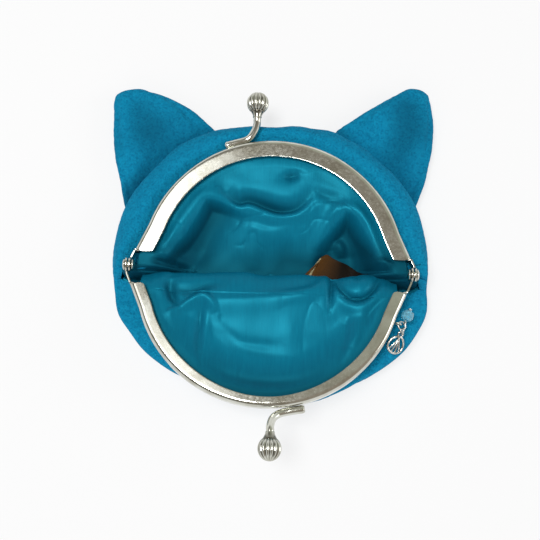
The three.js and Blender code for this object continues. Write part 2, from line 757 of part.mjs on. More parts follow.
function earPlace(side) {
  const start = earBaseLowDeg * deg;
  const end = earBaseHighDeg * deg;
  return (u, v) => {
    const angle = start + (end - start) * u;
    const around = side > 0 ? angle + softTurn : Math.PI - angle + softTurn;
    const reach = headReach(around) + seat + 0.1;
    const base = new THREE.Vector2(reach * Math.cos(around), reach * Math.sin(around));
    const tipReach = archRadius + earTipOut;
    const tipMiddle = new THREE.Vector2(
      side * tipReach * Math.cos(earTipDeg * deg),
      tipReach * Math.sin(earTipDeg * deg),
    );
    const across = new THREE.Vector2(-side, 0.12).normalize();
    tipMiddle.addScaledVector(across, (2 * u - 1) * earTipHalfWidth);
    tipMiddle.y -= 1.6 * (2 * u - 1) ** 2;
    tipMiddle.rotateAround(new THREE.Vector2(), softTurn);
    const bow = earBow * Math.sin(Math.PI * v) * (1 - u) ** 2;
    const point = base.lerp(tipMiddle, v);
    return [point.x + side * bow, point.y];
  };
}

function earDome(u, v) {
  const across = 1 - (2 * u - 1) ** 4;
  const along = Math.sin(Math.PI * (0.12 + 0.8 * (1 - v))) ** 0.7;
  return Math.max(0, across * along);
}

function earMiddle(v) {
  return earMidBase + (earMidTip - earMidBase) * v;
}

function earPanelGeometry(side, front) {
  const place = earPlace(side);
  const base = (x, y, u, v) => {
    const dish = front ? earDish * Math.exp(-(((u - 0.5) / 0.22) ** 2)) * Math.sin(Math.PI * v) : 0;
    return earSwell * earDome(u, v) - dish + clothGap / 2;
  };
  if (front) {
    const low = (x, y, u, v) => earMiddle(v) + base(x, y, u, v);
    return plate(8, 9, place, low, (x, y, u, v) => low(x, y, u, v) + earPanel);
  }
  const high = (x, y, u, v) => earMiddle(v) - base(x, y, u, v);
  return plate(8, 9, place, (x, y, u, v) => high(x, y, u, v) - earPanel, high);
}

function earWadding(side) {
  const whole = earPlace(side);
  const inner = (t) => 0.16 + 0.68 * t;
  const place = (u, v) => whole(inner(u), inner(v));
  const lift = (u, v) => {
    const [du, dv] = [inner(u), inner(v)];
    const dish = earDish * Math.exp(-(((du - 0.5) / 0.22) ** 2)) * Math.sin(Math.PI * dv);
    return [earSwell * earDome(du, dv) - dish - clothGap, earSwell * earDome(du, dv) - clothGap, dv];
  };
  const high = (x, y, u, v) => {
    const [front, , dv] = lift(u, v);
    return earMiddle(dv) + Math.max(front, 0.15);
  };
  const low = (x, y, u, v) => {
    const [, back, dv] = lift(u, v);
    return earMiddle(dv) - Math.max(back, 0.15);
  };
  return plate(6, 6, place, low, high);
}

// A blank label sewn to the back lining just inside the mouth
function liningLabel() {
  const [left, front] = labelCorner;
  const [wide, deep] = labelSize;
  const place = (u, v) => [left + wide * (u + 0.075 * v), front + deep * v * (1 - 0.2 * u)];
  const low = (x, y) => {
    const slack = 1.2 * plushTongue + 0.13 + 0.02 * Math.max(0, y) ** 1.5;
    return backLiningHeight(Math.atan2(y, x), Math.hypot(x, y)) + lining / 2 + slack;
  };
  return plate(8, 6, place, low, (x, y) => low(x, y) + 0.5);
}

// The charm: built round the lug's centre, in the directions out from the rim, along it
// towards the crest, and up

function charmPieces(frontHalf) {
  const turn = Math.PI - lugAtDeg * deg;
  const reach = archRadius + seat + lugRing[0] + lugRing[1];
  const local = new THREE.Vector3(
    reach * Math.cos(turn),
    archRise + reach * Math.sin(turn),
    -lugDepth,
  );
  const lug = local.clone().applyMatrix4(frontHalf.matrixWorld);
  const out = new THREE.Vector3(Math.cos(turn), Math.sin(turn), 0)
    .transformDirection(frontHalf.matrixWorld);
  const upward = new THREE.Vector3(0, 0, 1).transformDirection(frontHalf.matrixWorld);
  const along = new THREE.Vector3().crossVectors(out, upward).normalize();
  if (along.y > 0) along.negate();
  const fall = 20 * deg;
  const ahead = out.clone().multiplyScalar(Math.cos(fall)).addScaledVector(upward, -Math.sin(fall));
  const ringAxis = out.clone().multiplyScalar(Math.sin(fall)).addScaledVector(upward, Math.cos(fall));
  const ringCentre = lug.clone().addScaledVector(ahead, mainRing[0]);

  const onRing = (angle) => ahead.clone().multiplyScalar(Math.cos(angle))
    .addScaledVector(along, Math.sin(angle));
  const beadAt = ringCentre.clone().addScaledVector(onRing(-62 * deg), mainRing[0]);
  const beadWay = onRing(-84 * deg);
  const beadHinge = new THREE.Vector3().crossVectors(ringAxis, beadWay).normalize();
  const beadDrop = 6 * deg;
  beadWay.multiplyScalar(Math.cos(beadDrop)).addScaledVector(ringAxis, -Math.sin(beadDrop));

  const dropAt = ringCentre.clone().addScaledVector(onRing(58 * deg), mainRing[0]);
  const dropWay = onRing(85 * deg);
  const dropHinge = new THREE.Vector3().crossVectors(ringAxis, dropWay).normalize();
  const dropFall = 24 * deg;
  const dropFace = ringAxis.clone().multiplyScalar(Math.cos(dropFall))
    .addScaledVector(dropWay, Math.sin(dropFall));
  dropWay.multiplyScalar(Math.cos(dropFall)).addScaledVector(ringAxis, -Math.sin(dropFall));
  const linkAt = dropAt.clone().addScaledVector(dropWay, linkSlack);

  return {
    lug,
    along,
    ringCentre,
    ringAxis,
    beadAt,
    beadWay,
    beadHinge,
    dropAt,
    dropWay,
    dropHinge,
    dropFace,
    linkAt,
  };
}

function alignTo(geometry, axis, side, place) {
  const third = new THREE.Vector3().crossVectors(axis, side);
  const basis = new THREE.Matrix4().makeBasis(side, axis, third.negate());
  basis.setPosition(place);
  return geometry.applyMatrix4(basis);
}

function beadPin(c) {
  const sideways = c.beadHinge;
  const stemStart = pinEye[0];
  const stemEnd = pinEye[0] + pinEye[1] + clothGap + beadLength + clothGap;
  const shank = new THREE.CylinderGeometry(pinEye[1], pinEye[1], stemEnd - stemStart + 0.2, 8);
  shank.translate(0, (stemStart + stemEnd + 0.2) / 2, 0);
  const head = new THREE.CylinderGeometry(0.6, 0.6, 0.35, 10).translate(0, stemEnd + 0.175, 0);
  const straight = toSolid(shank).add(toSolid(head));
  const placed = alignTo(fromSolid(straight), c.beadWay, sideways, c.beadAt);
  const eye = ring(pinEye, c.beadAt, c.beadHinge, 16);
  return fromSolid(toSolid(outward(placed)).add(toSolid(eye)));
}

function charmBead(c) {
  const half = beadLength / 2;
  const profile = [
    [beadBore, -half], [beadRadius * 0.55, -half], [beadRadius, -half * 0.35], [beadRadius, half * 0.35],
    [beadRadius * 0.55, half], [beadBore, half], [beadBore, -half],
  ].map(([r, y]) => new THREE.Vector2(r, y));
  const bead = new THREE.LatheGeometry(profile, 8);
  bead.translate(0, pinEye[0] + pinEye[1] + clothGap + half, 0);
  return outward(mergeVertices(stripped(alignTo(bead, c.beadWay, c.beadHinge, c.beadAt)), 1e-4));
}

function stripped(geometry) {
  geometry.deleteAttribute('normal');
  geometry.deleteAttribute('uv');
  return geometry;
}

// A flat openwork drop: an eyelet, a rounded outline and ribs that fan out from the top
function openworkCharm(c) {
  const [wide, high] = charmSize;
  const eyelet = 0.95;
  const eyeHole = 0.55;
  const top = eyelet;
  const outline = new THREE.Shape();
  const [shoulder, belly] = [top + 0.6, top + 0.62 * high];
  const [foot, below] = [top + 0.86 * high, top + 1.02 * high];
  outline.moveTo(-0.6, top - 0.4);
  outline.bezierCurveTo(-0.42 * wide, shoulder, -0.56 * wide, belly, -0.42 * wide, foot);
  outline.bezierCurveTo(-0.3 * wide, below, 0.3 * wide, below, 0.42 * wide, foot);
  outline.bezierCurveTo(0.56 * wide, belly, 0.42 * wide, shoulder, 0.6, top - 0.4);
  const ribs = 4;
  const fan = 37 * deg;
  for (let i = 0; i < ribs; i++) {
    const from = -fan + (2 * fan * i) / ribs + 3.2 * deg;
    const to = -fan + (2 * fan * (i + 1)) / ribs - 3.2 * deg;
    const near = 2.1;
    const far = high * 0.88 + (Math.abs(i - (ribs - 1) / 2) < 1 ? 0.1 : -0.25);
    const hole = new THREE.Path();
    hole.moveTo(near * Math.sin(from), top - 0.6 + near * Math.cos(from));
    hole.lineTo(near * Math.sin(to), top - 0.6 + near * Math.cos(to));
    hole.lineTo(far * Math.sin(to), top - 0.6 + far * Math.cos(to));
    hole.lineTo(far * Math.sin(from), top - 0.6 + far * Math.cos(from));
    outline.holes.push(hole);
  }
  const flat = { depth: charmPlate, bevelEnabled: false, curveSegments: 7 };
  const body = toSolid(new THREE.ExtrudeGeometry(outline, flat));
  const disc = new THREE.Shape();
  disc.absarc(0, 0, eyelet, 0, 2 * Math.PI);
  const bore = new THREE.Shape();
  bore.absarc(0, 0, eyeHole, 0, 2 * Math.PI);
  const deep = { depth: 3 * charmPlate, bevelEnabled: false, curveSegments: 8 };
  const charm = body.add(toSolid(new THREE.ExtrudeGeometry(disc, flat)))
    .subtract(toSolid(new THREE.ExtrudeGeometry(bore, deep).translate(0, 0, -charmPlate)));
  const geometry = fromSolid(charm).translate(0, 0, -charmPlate / 2);
  const side = new THREE.Vector3().crossVectors(c.dropWay, c.dropFace);
  const basis = new THREE.Matrix4().makeBasis(side, c.dropWay, c.dropFace);
  basis.setPosition(c.dropAt.clone().addScaledVector(c.dropWay, linkSlack + linkRing[0]));
  return outward(geometry.applyMatrix4(basis));
}

// Assembly

const purse = new THREE.Group();

const backHalf = new THREE.Group();
backHalf.position.set(halfShift, 0, hingeHeight);

const frontHalf = new THREE.Group();
frontHalf.position.set(-halfShift, 0, hingeHeight);
frontHalf.rotation.set(-layOpen, 0, Math.PI, 'XYZ');

purse.add(backHalf, frontHalf);
purse.updateMatrixWorld(true);

// The balls' places in each half's own frame
const backBallX = ballMiddle - ballSpacing / 2 - halfShift;
const frontBallX = -(ballMiddle + ballSpacing / 2 + halfShift);

backHalf.add(
  mesh('back_frame_channel', frameHalf(), nickel),
  mesh('back_paper_cord', paperCord(), paper),
  mesh('back_clasp_stem', claspStem(backBallX, 1), nickel),
  mesh('back_clasp_ball', claspBall(backBallX), nickel),
);
frontHalf.add(
  mesh('front_frame_channel', frameHalf(), nickel),
  mesh('front_paper_cord', paperCord(), paper),
  mesh('front_clasp_stem', claspStem(frontBallX, 1), nickel),
  mesh('front_clasp_ball', claspBall(frontBallX), nickel),
  mesh('front_flap_lining', frontFlapLining(), satin),
  mesh('front_flap_plush', frontFlapPlush(), plushCloth),
);
purse.add(
  mesh('hinge_rivet_right', hingeRivet().translate(0, 0, hingeHeight), nickel),
  mesh('hinge_rivet_left', hingeRivet().rotateZ(Math.PI).translate(0, 0, hingeHeight), nickel),
  mesh('back_plush_panel', backPlushPanel(), plushCloth),
  mesh('back_wadding', backWadding(), waddingWhite),
  mesh('back_lining', backLining(), satin),
  mesh('pouch_front_plush', pouchFrontPlush(), plushCloth),
  mesh('pouch_front_lining', pouchFrontLining(), satin),
  mesh('lining_label', liningLabel(), brownCloth),
);
for (const [name, side] of [['right', 1], ['left', -1]]) {
  purse.add(
    mesh(`${name}_ear_front_panel`, earPanelGeometry(side, true), plushCloth),
    mesh(`${name}_ear_back_panel`, earPanelGeometry(side, false), plushCloth),
    mesh(`${name}_ear_wadding`, earWadding(side), waddingWhite),
  );
}

const charm = charmPieces(frontHalf);
purse.add(
  mesh('charm_lug', ring(lugRing, charm.lug, charm.along), nickel),
  mesh('charm_ring', ring(mainRing, charm.ringCentre, charm.ringAxis), nickel),
  mesh('bead_pin', beadPin(charm), nickel),
  mesh('charm_bead', charmBead(charm), aqua),
  mesh('charm_link', ring(linkRing, charm.linkAt, charm.dropHinge), nickel),
  mesh('openwork_charm', openworkCharm(charm), nickel),
);

export default purse;
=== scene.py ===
import math

import bpy
import numpy as np
from mathutils import Matrix, Vector


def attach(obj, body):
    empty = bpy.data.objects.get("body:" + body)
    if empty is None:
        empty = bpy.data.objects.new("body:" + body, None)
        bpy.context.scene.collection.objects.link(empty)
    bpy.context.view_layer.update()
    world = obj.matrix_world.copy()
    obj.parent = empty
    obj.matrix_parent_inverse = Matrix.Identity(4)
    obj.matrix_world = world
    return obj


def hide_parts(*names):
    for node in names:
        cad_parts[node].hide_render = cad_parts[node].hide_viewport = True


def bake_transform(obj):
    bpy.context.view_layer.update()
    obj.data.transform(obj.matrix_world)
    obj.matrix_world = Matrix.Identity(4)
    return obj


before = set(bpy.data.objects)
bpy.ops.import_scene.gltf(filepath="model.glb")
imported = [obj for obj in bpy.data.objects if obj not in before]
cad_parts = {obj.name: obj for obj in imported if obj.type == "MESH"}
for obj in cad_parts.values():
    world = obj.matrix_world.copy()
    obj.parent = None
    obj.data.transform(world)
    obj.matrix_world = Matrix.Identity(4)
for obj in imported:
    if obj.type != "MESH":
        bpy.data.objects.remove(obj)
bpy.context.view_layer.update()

mm = 0.001
deg = math.pi / 180

purse = {
    "hingeHeight": 16.0,     # hinge axis above the table
    "halfShift": 0.5,        # each frame half sits this far to its own right
    "layOpen": 8.0,          # rise of the front half above flat
    "archRadius": 39.7,
    "archRise": 0.9,
    "legStart": 18.0,        # where the arch runs out into its straight legs
    "legFlare": 24.0,
    "rimTop": -0.15,
    "rimBottom": -5.15,
    "channelDepth": 5.2,
    "softTurn": 2.3,         # the soft head lies turned a little in the frame
    "plush": 1.6,
    "floorHeight": 3.5,
    "seamHeight": 6.3,
}
channelFloor = purse["hingeHeight"] + purse["rimBottom"]
channelEnd = 5.0             # degrees above the hinge line to which the rim is followed
liningInChannel = -2.775     # middle of the lining in the channel, in a half's own frame


# Numbers and grids

def smoothstep(value, low=0.0, high=1.0):
    # 0 below low, 1 above high and an S-curve between
    share = np.clip((value - low) / (high - low), 0, 1)
    return share * share * (3 - 2 * share)


def bell(value, width):
    # 1 at zero, 0.37 at the width and nothing at three times the width
    return np.exp(-(value / width) ** 2)


def softRamp(value, width):
    # 0 below zero and the value itself above it, with a bend of the width between
    return width * np.log1p(np.exp(value / width))


def between(low, high, share):
    return low + (high - low) * share


def xyz(x, y, z):
    # Points from their coordinates, of which some may be plain numbers
    return np.stack(np.broadcast_arrays(x, y, z), -1)


def fullTurn(count, shift=0):
    # Even angles all round, without the last, which is the first again
    return (np.arange(count) + shift) / count * 2 * np.pi


def stepsOver(*stretches):
    # Steps over stretches of (from, to, count) that follow each other
    return np.unique(np.concatenate([np.linspace(*stretch) for stretch in stretches]))


def smoothTable(at, knots, values):
    # A cubic between the knots, whose slope at a knot comes from its neighbours
    knots, values = np.array(knots, float), np.array(values, float)
    slopes = np.gradient(values, knots)
    slopes[0] = slopes[-1] = 0
    k = np.clip(np.searchsorted(knots, at, side="right") - 1, 0, len(knots) - 2)
    span = knots[k + 1] - knots[k]
    t = (at - knots[k]) / span
    return ((2 * t**3 - 3 * t**2 + 1) * values[k] + (t**3 - 2 * t**2 + t) * span * slopes[k]
            + (3 * t**2 - 2 * t**3) * values[k + 1] + (t**3 - t**2) * span * slopes[k + 1])


def throughPoints(controls, t):
    # A Catmull-Rom curve through controls (..., points, values) at the steps t, where
    # step 2.5 is half way from the third control to the fourth
    controls = np.asarray(controls, float)
    last = controls.shape[-2] - 1
    k = np.clip(np.floor(t).astype(int), 0, last - 1)
    f = (t - k)[:, None]
    p0, p1 = controls[..., np.maximum(k - 1, 0), :], controls[..., k, :]
    p2, p3 = controls[..., k + 1, :], controls[..., np.minimum(k + 2, last), :]
    return 0.5 * (2 * p1 + (p2 - p0) * f + (2 * p0 - 5 * p1 + 4 * p2 - p3) * f**2
                  + (3 * p1 - p0 - 3 * p2 + p3) * f**3)


def evenly(line, spacing, soften=0.0):
    # The same line with even spacing, its corners rounded by a running bell curve
    line, fineStep = np.asarray(line, float), 0.05
    run = np.concatenate([[0], np.cumsum(np.linalg.norm(np.diff(line, axis=0), axis=1))])
    fine = np.linspace(0, run[-1], int(run[-1] / fineStep) + 2)
    even = np.stack([np.interp(fine, run, line[:, k]) for k in range(line.shape[1])], -1)
    if soften:
        reach = int(3 * soften / fineStep)
        weights = np.exp(-0.5 * (np.arange(-reach, reach + 1) * fineStep / soften) ** 2)
        ahead = 2 * even[0] - even[reach:0:-1]
        behind = 2 * even[-1] - even[-2:-reach - 2:-1]
        longer = np.concatenate([ahead, even, behind])
        even = np.stack([np.convolve(longer[:, k], weights / weights.sum(), "valid")
                         for k in range(line.shape[1])], -1)
    pick = np.linspace(0, len(even) - 1, max(int(run[-1] / spacing), 2) + 1)
    return even[pick.round().astype(int)]


def ripple(points, wavelength, seed, waves=14):
    # Soft noise of about -1 to 1: plane waves of nearly one length in mixed directions
    draw = np.random.default_rng(seed)
    ways = draw.normal(size=(waves, 3))
    ways /= np.linalg.norm(ways, axis=1)[:, None]
    pace = 2 * np.pi / (wavelength * draw.uniform(0.7, 1.5, waves))
    phase = draw.uniform(0, 2 * np.pi, waves)
    total = np.zeros(points.shape[:-1])
    for way, speed, start in zip(ways, pace, phase):
        total += np.sin(points @ way * speed + start)
    return total / math.sqrt(waves / 2) / 1.6


def crumple(x, y, size, seed):
    # Sharp winding creases: grooves with a sharp bottom along the zero lines of soft
    # noise, which come and go by a second, broader noise
    place, grooveWidth = xyz(x, y, 0), 0.11
    first = ripple(place, size, seed)
    present = smoothstep(ripple(place, size * 1.8, seed + 1), -0.1, 0.7)
    return -present * np.exp(-np.abs(first) / grooveWidth)


def acrossGrid(points, wrap=False):
    # Unit normals of a grid of points, from its neighbours both ways
    down = np.gradient(points, axis=0)
    if wrap:
        along = (np.roll(points, -1, 1) - np.roll(points, 1, 1)) / 2
    else:
        along = np.gradient(points, axis=1)
    normal = np.cross(along, down)
    return normal / np.maximum(np.linalg.norm(normal, axis=-1, keepdims=True), 1e-9)


def foldHeight(x, y, folds):
    # Each fold is a ridge along a smooth line, or a groove where its height is below 0.
    # Its height falls off as a bell curve, with its own width on the left and on the
    # right of the line, and fades towards the line's ends.
    total = np.zeros_like(x)
    for line, (left, right), height in folds:
        line = throughPoints(line, np.linspace(0, len(line) - 1, 4 * len(line)))
        start, span = line[:-1], np.diff(line, axis=0)
        length = np.linalg.norm(span, axis=1)
        offset = np.stack([x, y], -1)[..., None, :] - start
        share = np.clip((offset * span).sum(-1) / length**2, 0, 1)
        gap = offset - share[..., None] * span
        distance = np.linalg.norm(gap, axis=-1)
        nearest = distance.argmin(-1)[..., None]
        away = np.take_along_axis(distance, nearest, -1)[..., 0]
        turn = span[:, 0] * gap[..., 1] - span[:, 1] * gap[..., 0]
        width = np.where(np.take_along_axis(turn, nearest, -1)[..., 0] > 0, left, right)
        run = np.concatenate([[0], np.cumsum(length)[:-1]]) + share * length
        place = np.take_along_axis(run, nearest, -1)[..., 0] / length.sum()
        fade = np.sin(np.pi * np.clip(place, 0.03, 0.97)) ** 0.6
        total += height * fade * bell(away, width)
    return total


def insideOutline(x, y, outline, edge):
    # 1 within a closed outline and 0 outside it, with an S-curve of the edge's width inside
    steps = np.linspace(0, len(outline), 5 * len(outline))
    corners = throughPoints(outline + outline[:1], steps)
    start, end = corners[:-1], corners[1:]
    span = end - start
    offset = np.stack([x, y], -1)[..., None, :] - start
    share = np.clip((offset * span).sum(-1) / np.maximum((span**2).sum(-1), 1e-9), 0, 1)
    distance = np.linalg.norm(offset - share[..., None] * span, axis=-1).min(-1)
    level = y[..., None]
    spans = (start[:, 1] > level) != (end[:, 1] > level)
    climb = np.where(np.abs(span[:, 1]) < 1e-9, 1e-9, span[:, 1])
    meets = start[:, 0] + (level - start[:, 1]) / climb * span[:, 0]
    odd = (spans & (x[..., None] < meets)).sum(-1) % 2
    return odd * smoothstep(distance, 0, edge)


# Meshes

def addObject(name, data):
    made = bpy.data.objects.new(name, data)
    bpy.context.scene.collection.objects.link(made)
    return made


def makePiece(name, points, material, wrapRows=False, wrapColumns=False, poles=None,
              strips=False, uv=None, smooth=True, napAndShade=None):
    # A grid (rows, columns, 3) becomes quads between neighbours. Poles are single points
    # that close the first and last row with triangles; strips close them crosswise, for
    # a row that runs out on one face of a sheet and back on the other.
    points = np.asarray(points, float)
    rows, columns = points.shape[:2]
    number = np.arange(rows * columns).reshape(rows, columns)
    if wrapRows:
        number = np.concatenate([number, number[:1]])
    if wrapColumns:
        number = np.concatenate([number, number[:, :1]], axis=1)
    quads = np.stack([number[:-1, :-1], number[:-1, 1:], number[1:, 1:], number[1:, :-1]],
                     -1).reshape(-1, 4)
    vertices = points.reshape(-1, 3)
    triangles = np.zeros((0, 3), int)
    if strips:
        half = columns // 2
        i = np.arange(half - 1)
        for row, turned in ((number[0], True), (number[rows - 1], False)):
            strip = np.stack([row[i], row[i + 1], row[columns - 2 - i], row[columns - 1 - i]], -1)
            quads = np.concatenate([quads, strip[:, ::-1] if turned else strip])
    if poles is not None:
        for row, pole, turned in ((number[0], poles[0], True), (number[-1], poles[1], False)):
            tip = np.full(len(row) - 1, len(vertices))
            vertices = np.concatenate([vertices, [pole]])
            fan = np.stack([row[:-1], row[1:], tip], -1)
            triangles = np.concatenate([triangles, fan[:, ::-1] if turned else fan])
    halves = [quads[:, [0, 1, 2]], quads[:, [0, 2, 3]], triangles]
    a, b, c = (vertices[np.concatenate(halves)[:, k]] for k in range(3))
    closed = wrapRows or strips or poles is not None
    if closed and (a * np.cross(b, c)).sum() <= 0:
        quads, triangles = quads[:, ::-1], triangles[:, ::-1]
    mesh = bpy.data.meshes.new(name)
    mesh.from_pydata((vertices * mm).tolist(), [], quads.tolist() + triangles.tolist())
    if uv is not None:
        corners = np.concatenate([quads.ravel(), triangles.ravel()])
        layer = mesh.uv_layers.new(name="surface")
        places = np.asarray(uv, np.float32).reshape(-1, 2)[corners]
        layer.data.foreach_set("uv", places.ravel())
    # a value per point for brushed pile and painted shade, which the materials read
    if napAndShade is not None:
        napAndShadeValues = np.concatenate([np.ravel(napAndShade), np.zeros(len(vertices) - np.size(napAndShade))])
        mesh.attributes.new("napAndShade", "FLOAT", "POINT").data.foreach_set("value", napAndShadeValues)
    mesh.polygons.foreach_set("use_smooth", np.full(len(mesh.polygons), smooth))
    mesh.materials.append(material)
    return addObject(name, mesh)


def sheetPoints(middle, thickness):
    # Both faces of an open sheet: each row runs out on one face and back on the other
    half = acrossGrid(middle) * (np.asarray(thickness) / 2)[..., None]
    return np.concatenate([middle + half, (middle - half)[:, ::-1]], axis=1)


def discPoints(middle, thickness):
    # Both faces of a round sheet: from the middle to the edge and back
    half = acrossGrid(middle, wrap=True) * (np.asarray(thickness) / 2)[..., None]
    return np.concatenate([middle + half, (middle - half)[::-1]])


def tubePoints(path, across, sides=16, closed=False, upright=(0, 0, 1)):
    # A tube along a path: at each point an oval, across[0] to the side and across[1]
    # along the upright
    path = np.asarray(path, float)
    if closed:
        way = np.roll(path, -1, 0) - np.roll(path, 1, 0)
    else:
        way = np.gradient(path, axis=0)
    way /= np.linalg.norm(way, axis=1)[:, None]
    aside = np.cross(way, np.asarray(upright, float))
    aside /= np.linalg.norm(aside, axis=1)[:, None]
    above = np.cross(aside, way)
    turn = fullTurn(sides)
    wide, high = (np.broadcast_to(r, len(path))[:, None, None] for r in across)
    return (path[:, None] + wide * np.cos(turn)[:, None] * aside[:, None]
            + high * np.sin(turn)[:, None] * above[:, None])


def turnedPoints(profile, sides, axis="y"):
    # A profile of (radius, distance along the axis) turned round that axis
    profile = np.asarray(profile, float)
    turn = fullTurn(sides)
    radius, along = profile[:, :1], profile[:, 1:] + 0 * turn
    around = [radius * np.cos(turn), radius * np.sin(turn)]
    order = {"x": [along, *around], "y": [around[1], along, around[0]]}[axis]
    return np.stack(order, -1)


def onHalf(points, half):
    # From a frame half's own frame to the shared frame. The back half is only moved; the
    # front half is turned by 180 degrees about Z and tilted about the hinge line.
    x, y, z = np.moveaxis(np.asarray(points, float), -1, 0)
    if half == "back":
        return xyz(x + purse["halfShift"], y, z + purse["hingeHeight"])
    tilt = purse["layOpen"] * deg
    return xyz(-x - purse["halfShift"], z * math.sin(tilt) - y * math.cos(tilt),
               y * math.sin(tilt) + z * math.cos(tilt) + purse["hingeHeight"])


def assign(piece, body, slot, *nodes):
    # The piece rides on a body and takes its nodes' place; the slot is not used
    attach(piece, body)
    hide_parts(*nodes)


# Materials

def linear(code):
    # An sRGB hex code as linear red, green, blue and alpha
    parts = [int(code[i:i + 2], 16) / 255 for i in (1, 3, 5)]
    return (*[p / 12.92 if p <= 0.04045 else ((p + 0.055) / 1.055) ** 2.4 for p in parts], 1)


def addNode(tree, kind, inputs=None, **settings):
    made = tree.nodes.new("ShaderNode" + kind)
    for key, value in settings.items():
        setattr(made, key, value)
    for key, value in (inputs or {}).items():
        if isinstance(value, bpy.types.NodeSocket):
            tree.links.new(value, made.inputs[key])
        else:
            made.inputs[key].default_value = value
    return made


def emptyTree(owner):
    owner.use_nodes = True
    owner.node_tree.nodes.clear()
    return owner.node_tree


def newMaterial(name, **sockets):
    # A material with a Principled shader, whose plain sockets are given by name
    material = bpy.data.materials.new(name)
    tree = emptyTree(material)
    plain = {key.replace("_", " "): value for key, value in sockets.items()}
    shader = addNode(tree, "BsdfPrincipled", plain)
    addNode(tree, "OutputMaterial", {"Surface": shader.outputs[0]})
    return material, tree


def wireUp(material, colour, rough=None, bump=None):
    # Links a colour, a roughness and a bump of (height, strength, metres) to the shader
    tree = material.node_tree
    shader = next(n for n in tree.nodes if n.bl_idname == "ShaderNodeBsdfPrincipled")
    tree.links.new(colour, shader.inputs["Base Color"])
    if rough is not None:
        tree.links.new(rough, shader.inputs["Roughness"])
    if bump is not None:
        height, strength, distance = bump
        bent = addNode(tree, "Bump", {"Height": height, "Strength": strength,
                                      "Distance": distance}).outputs[0]
        tree.links.new(bent, shader.inputs["Normal"])
    return material


def placeIn(tree, space="Object"):
    return addNode(tree, "TexCoord").outputs[space]


def napAndShadeOf(tree):
    # The value that a mesh gives its points: brushed pile and painted shade on the ears, painted
    # shade on the satin and in the clasp's hollows
    return addNode(tree, "Attribute", attribute_name="napAndShade").outputs["Fac"]


def noiseOf(tree, place, size, detail=2.0, stretch=(1, 1, 1)):
    # Noise with features of a size in millimetres, longer along an axis by its stretch
    scale = tuple(1 / s for s in stretch)
    moved = addNode(tree, "Mapping", {"Vector": place, "Scale": scale})
    return addNode(tree, "TexNoise", {"Vector": moved.outputs[0], "Scale": 1000 / size,
                                      "Detail": detail}).outputs[0]


def ranged(tree, value, low=0.0, high=1.0, first=0.0, last=1.0):
    # The value held between low and high, and spread over first to last
    return addNode(tree, "MapRange", {0: value, 1: low, 2: high, 3: first, 4: last}).outputs[0]


def mathOf(tree, operation, *values):
    return addNode(tree, "Math", dict(enumerate(values)), operation=operation).outputs[0]


def mixColours(tree, share, first, second):
    # Each colour is a socket, a linear value or a hex code
    first, second = (linear(c) if isinstance(c, str) else c for c in (first, second))
    mixed = addNode(tree, "Mix", {0: share, 6: first, 7: second}, data_type="RGBA")
    return mixed.outputs[2]


def plushMaterial():
    # Short-pile polyester plush, knitted and sheared: matt and deep, lighter where the
    # pile is seen from the side. The pile is about 0.2 mm a tuft and is drawn coarser.
    material, tree = newMaterial(
        "PolyesterPlushSheared", Roughness=0.95, Sheen_Weight=0.22, Sheen_Roughness=0.45,
        Sheen_Tint=linear("#3aa6d6"), Specular_IOR_Level=0.1)
    place = placeIn(tree)
    patches, tufts = noiseOf(tree, place, 9, 3), noiseOf(tree, place, 1.6, 3)
    pile = noiseOf(tree, place, 0.7, 2)
    deep = mixColours(tree, patches, "#06759e", "#0a86ae")
    lit = mixColours(tree, ranged(tree, tufts, 0.32, 0.7, 0.12, 0.62), deep, "#1496be")
    mixed = mixColours(tree, ranged(tree, pile, 0.32, 0.52, 0.6, 0.0), lit, "#06658c")
    # darker by the mesh's value: pile brushed in random patches, and painted shade in the ears'
    # dip at the head and in their dish
    colour = mixColours(tree, napAndShadeOf(tree), mixed, "#044a66")
    return wireUp(material, colour, bump=(mathOf(tree, "ADD", tufts, pile), 0.7, 0.0005))


def satinMaterial():
    # Polyester satin, warp-faced: a soft broad gloss with fine streaks along the warp
    material, tree = newMaterial("PolyesterSatinWoven", Specular_IOR_Level=0.95, IOR=1.6,
                                 Specular_Tint=linear("#38c2da"))
    place = placeIn(tree)
    patches = noiseOf(tree, place, 14, 2)
    streaks = noiseOf(tree, place, 0.6, 2, (1, 9, 9))
    threads = noiseOf(tree, place, 0.35, 1, (1, 14, 14))
    base = mixColours(tree, patches, "#05617e", "#076a88")
    lit = mixColours(tree, ranged(tree, streaks, 0.3, 0.75, 0, 0.35), base, "#0c7e9b")
    # painted shade: darker in the creases and hollows, under the lip and under the rim; rougher
    # there too, where the floats lie crushed
    paintedShade = napAndShadeOf(tree)
    colour = mixColours(tree, paintedShade, lit, "#012c40")
    rough = mathOf(tree, "MULTIPLY_ADD", paintedShade, 0.22, ranged(tree, streaks, 0, 1, 0.4, 0.48))
    return wireUp(material, colour, rough, (threads, 0.25, 0.0001))


def nickelMaterial():
    # Nickel-plated steel, stamped and barrel-polished: warm grey and bright, with faint
    # draw lines and cloudy spots where fingers have dulled the plating
    material, tree = newMaterial("NickelPlatedSteelPolished", Metallic=1.0)
    place = placeIn(tree)
    clouds, specks = noiseOf(tree, place, 5, 4), noiseOf(tree, place, 0.7, 3)
    lines = noiseOf(tree, place, 0.3, 2, (6, 6, 1))
    plated = mixColours(tree, ranged(tree, clouds, 0.4, 0.75), "#d3d4cb", "#b3b1a3")
    # painted shade in the hollows of the clasp: the balls' flute dips, necks and collars
    colour = mixColours(tree, napAndShadeOf(tree), plated, "#57544a")
    rough = ranged(tree, specks, 0.3, 0.8, 0.1, 0.22)
    return wireUp(material, colour, rough, (lines, 0.15, 0.00004))


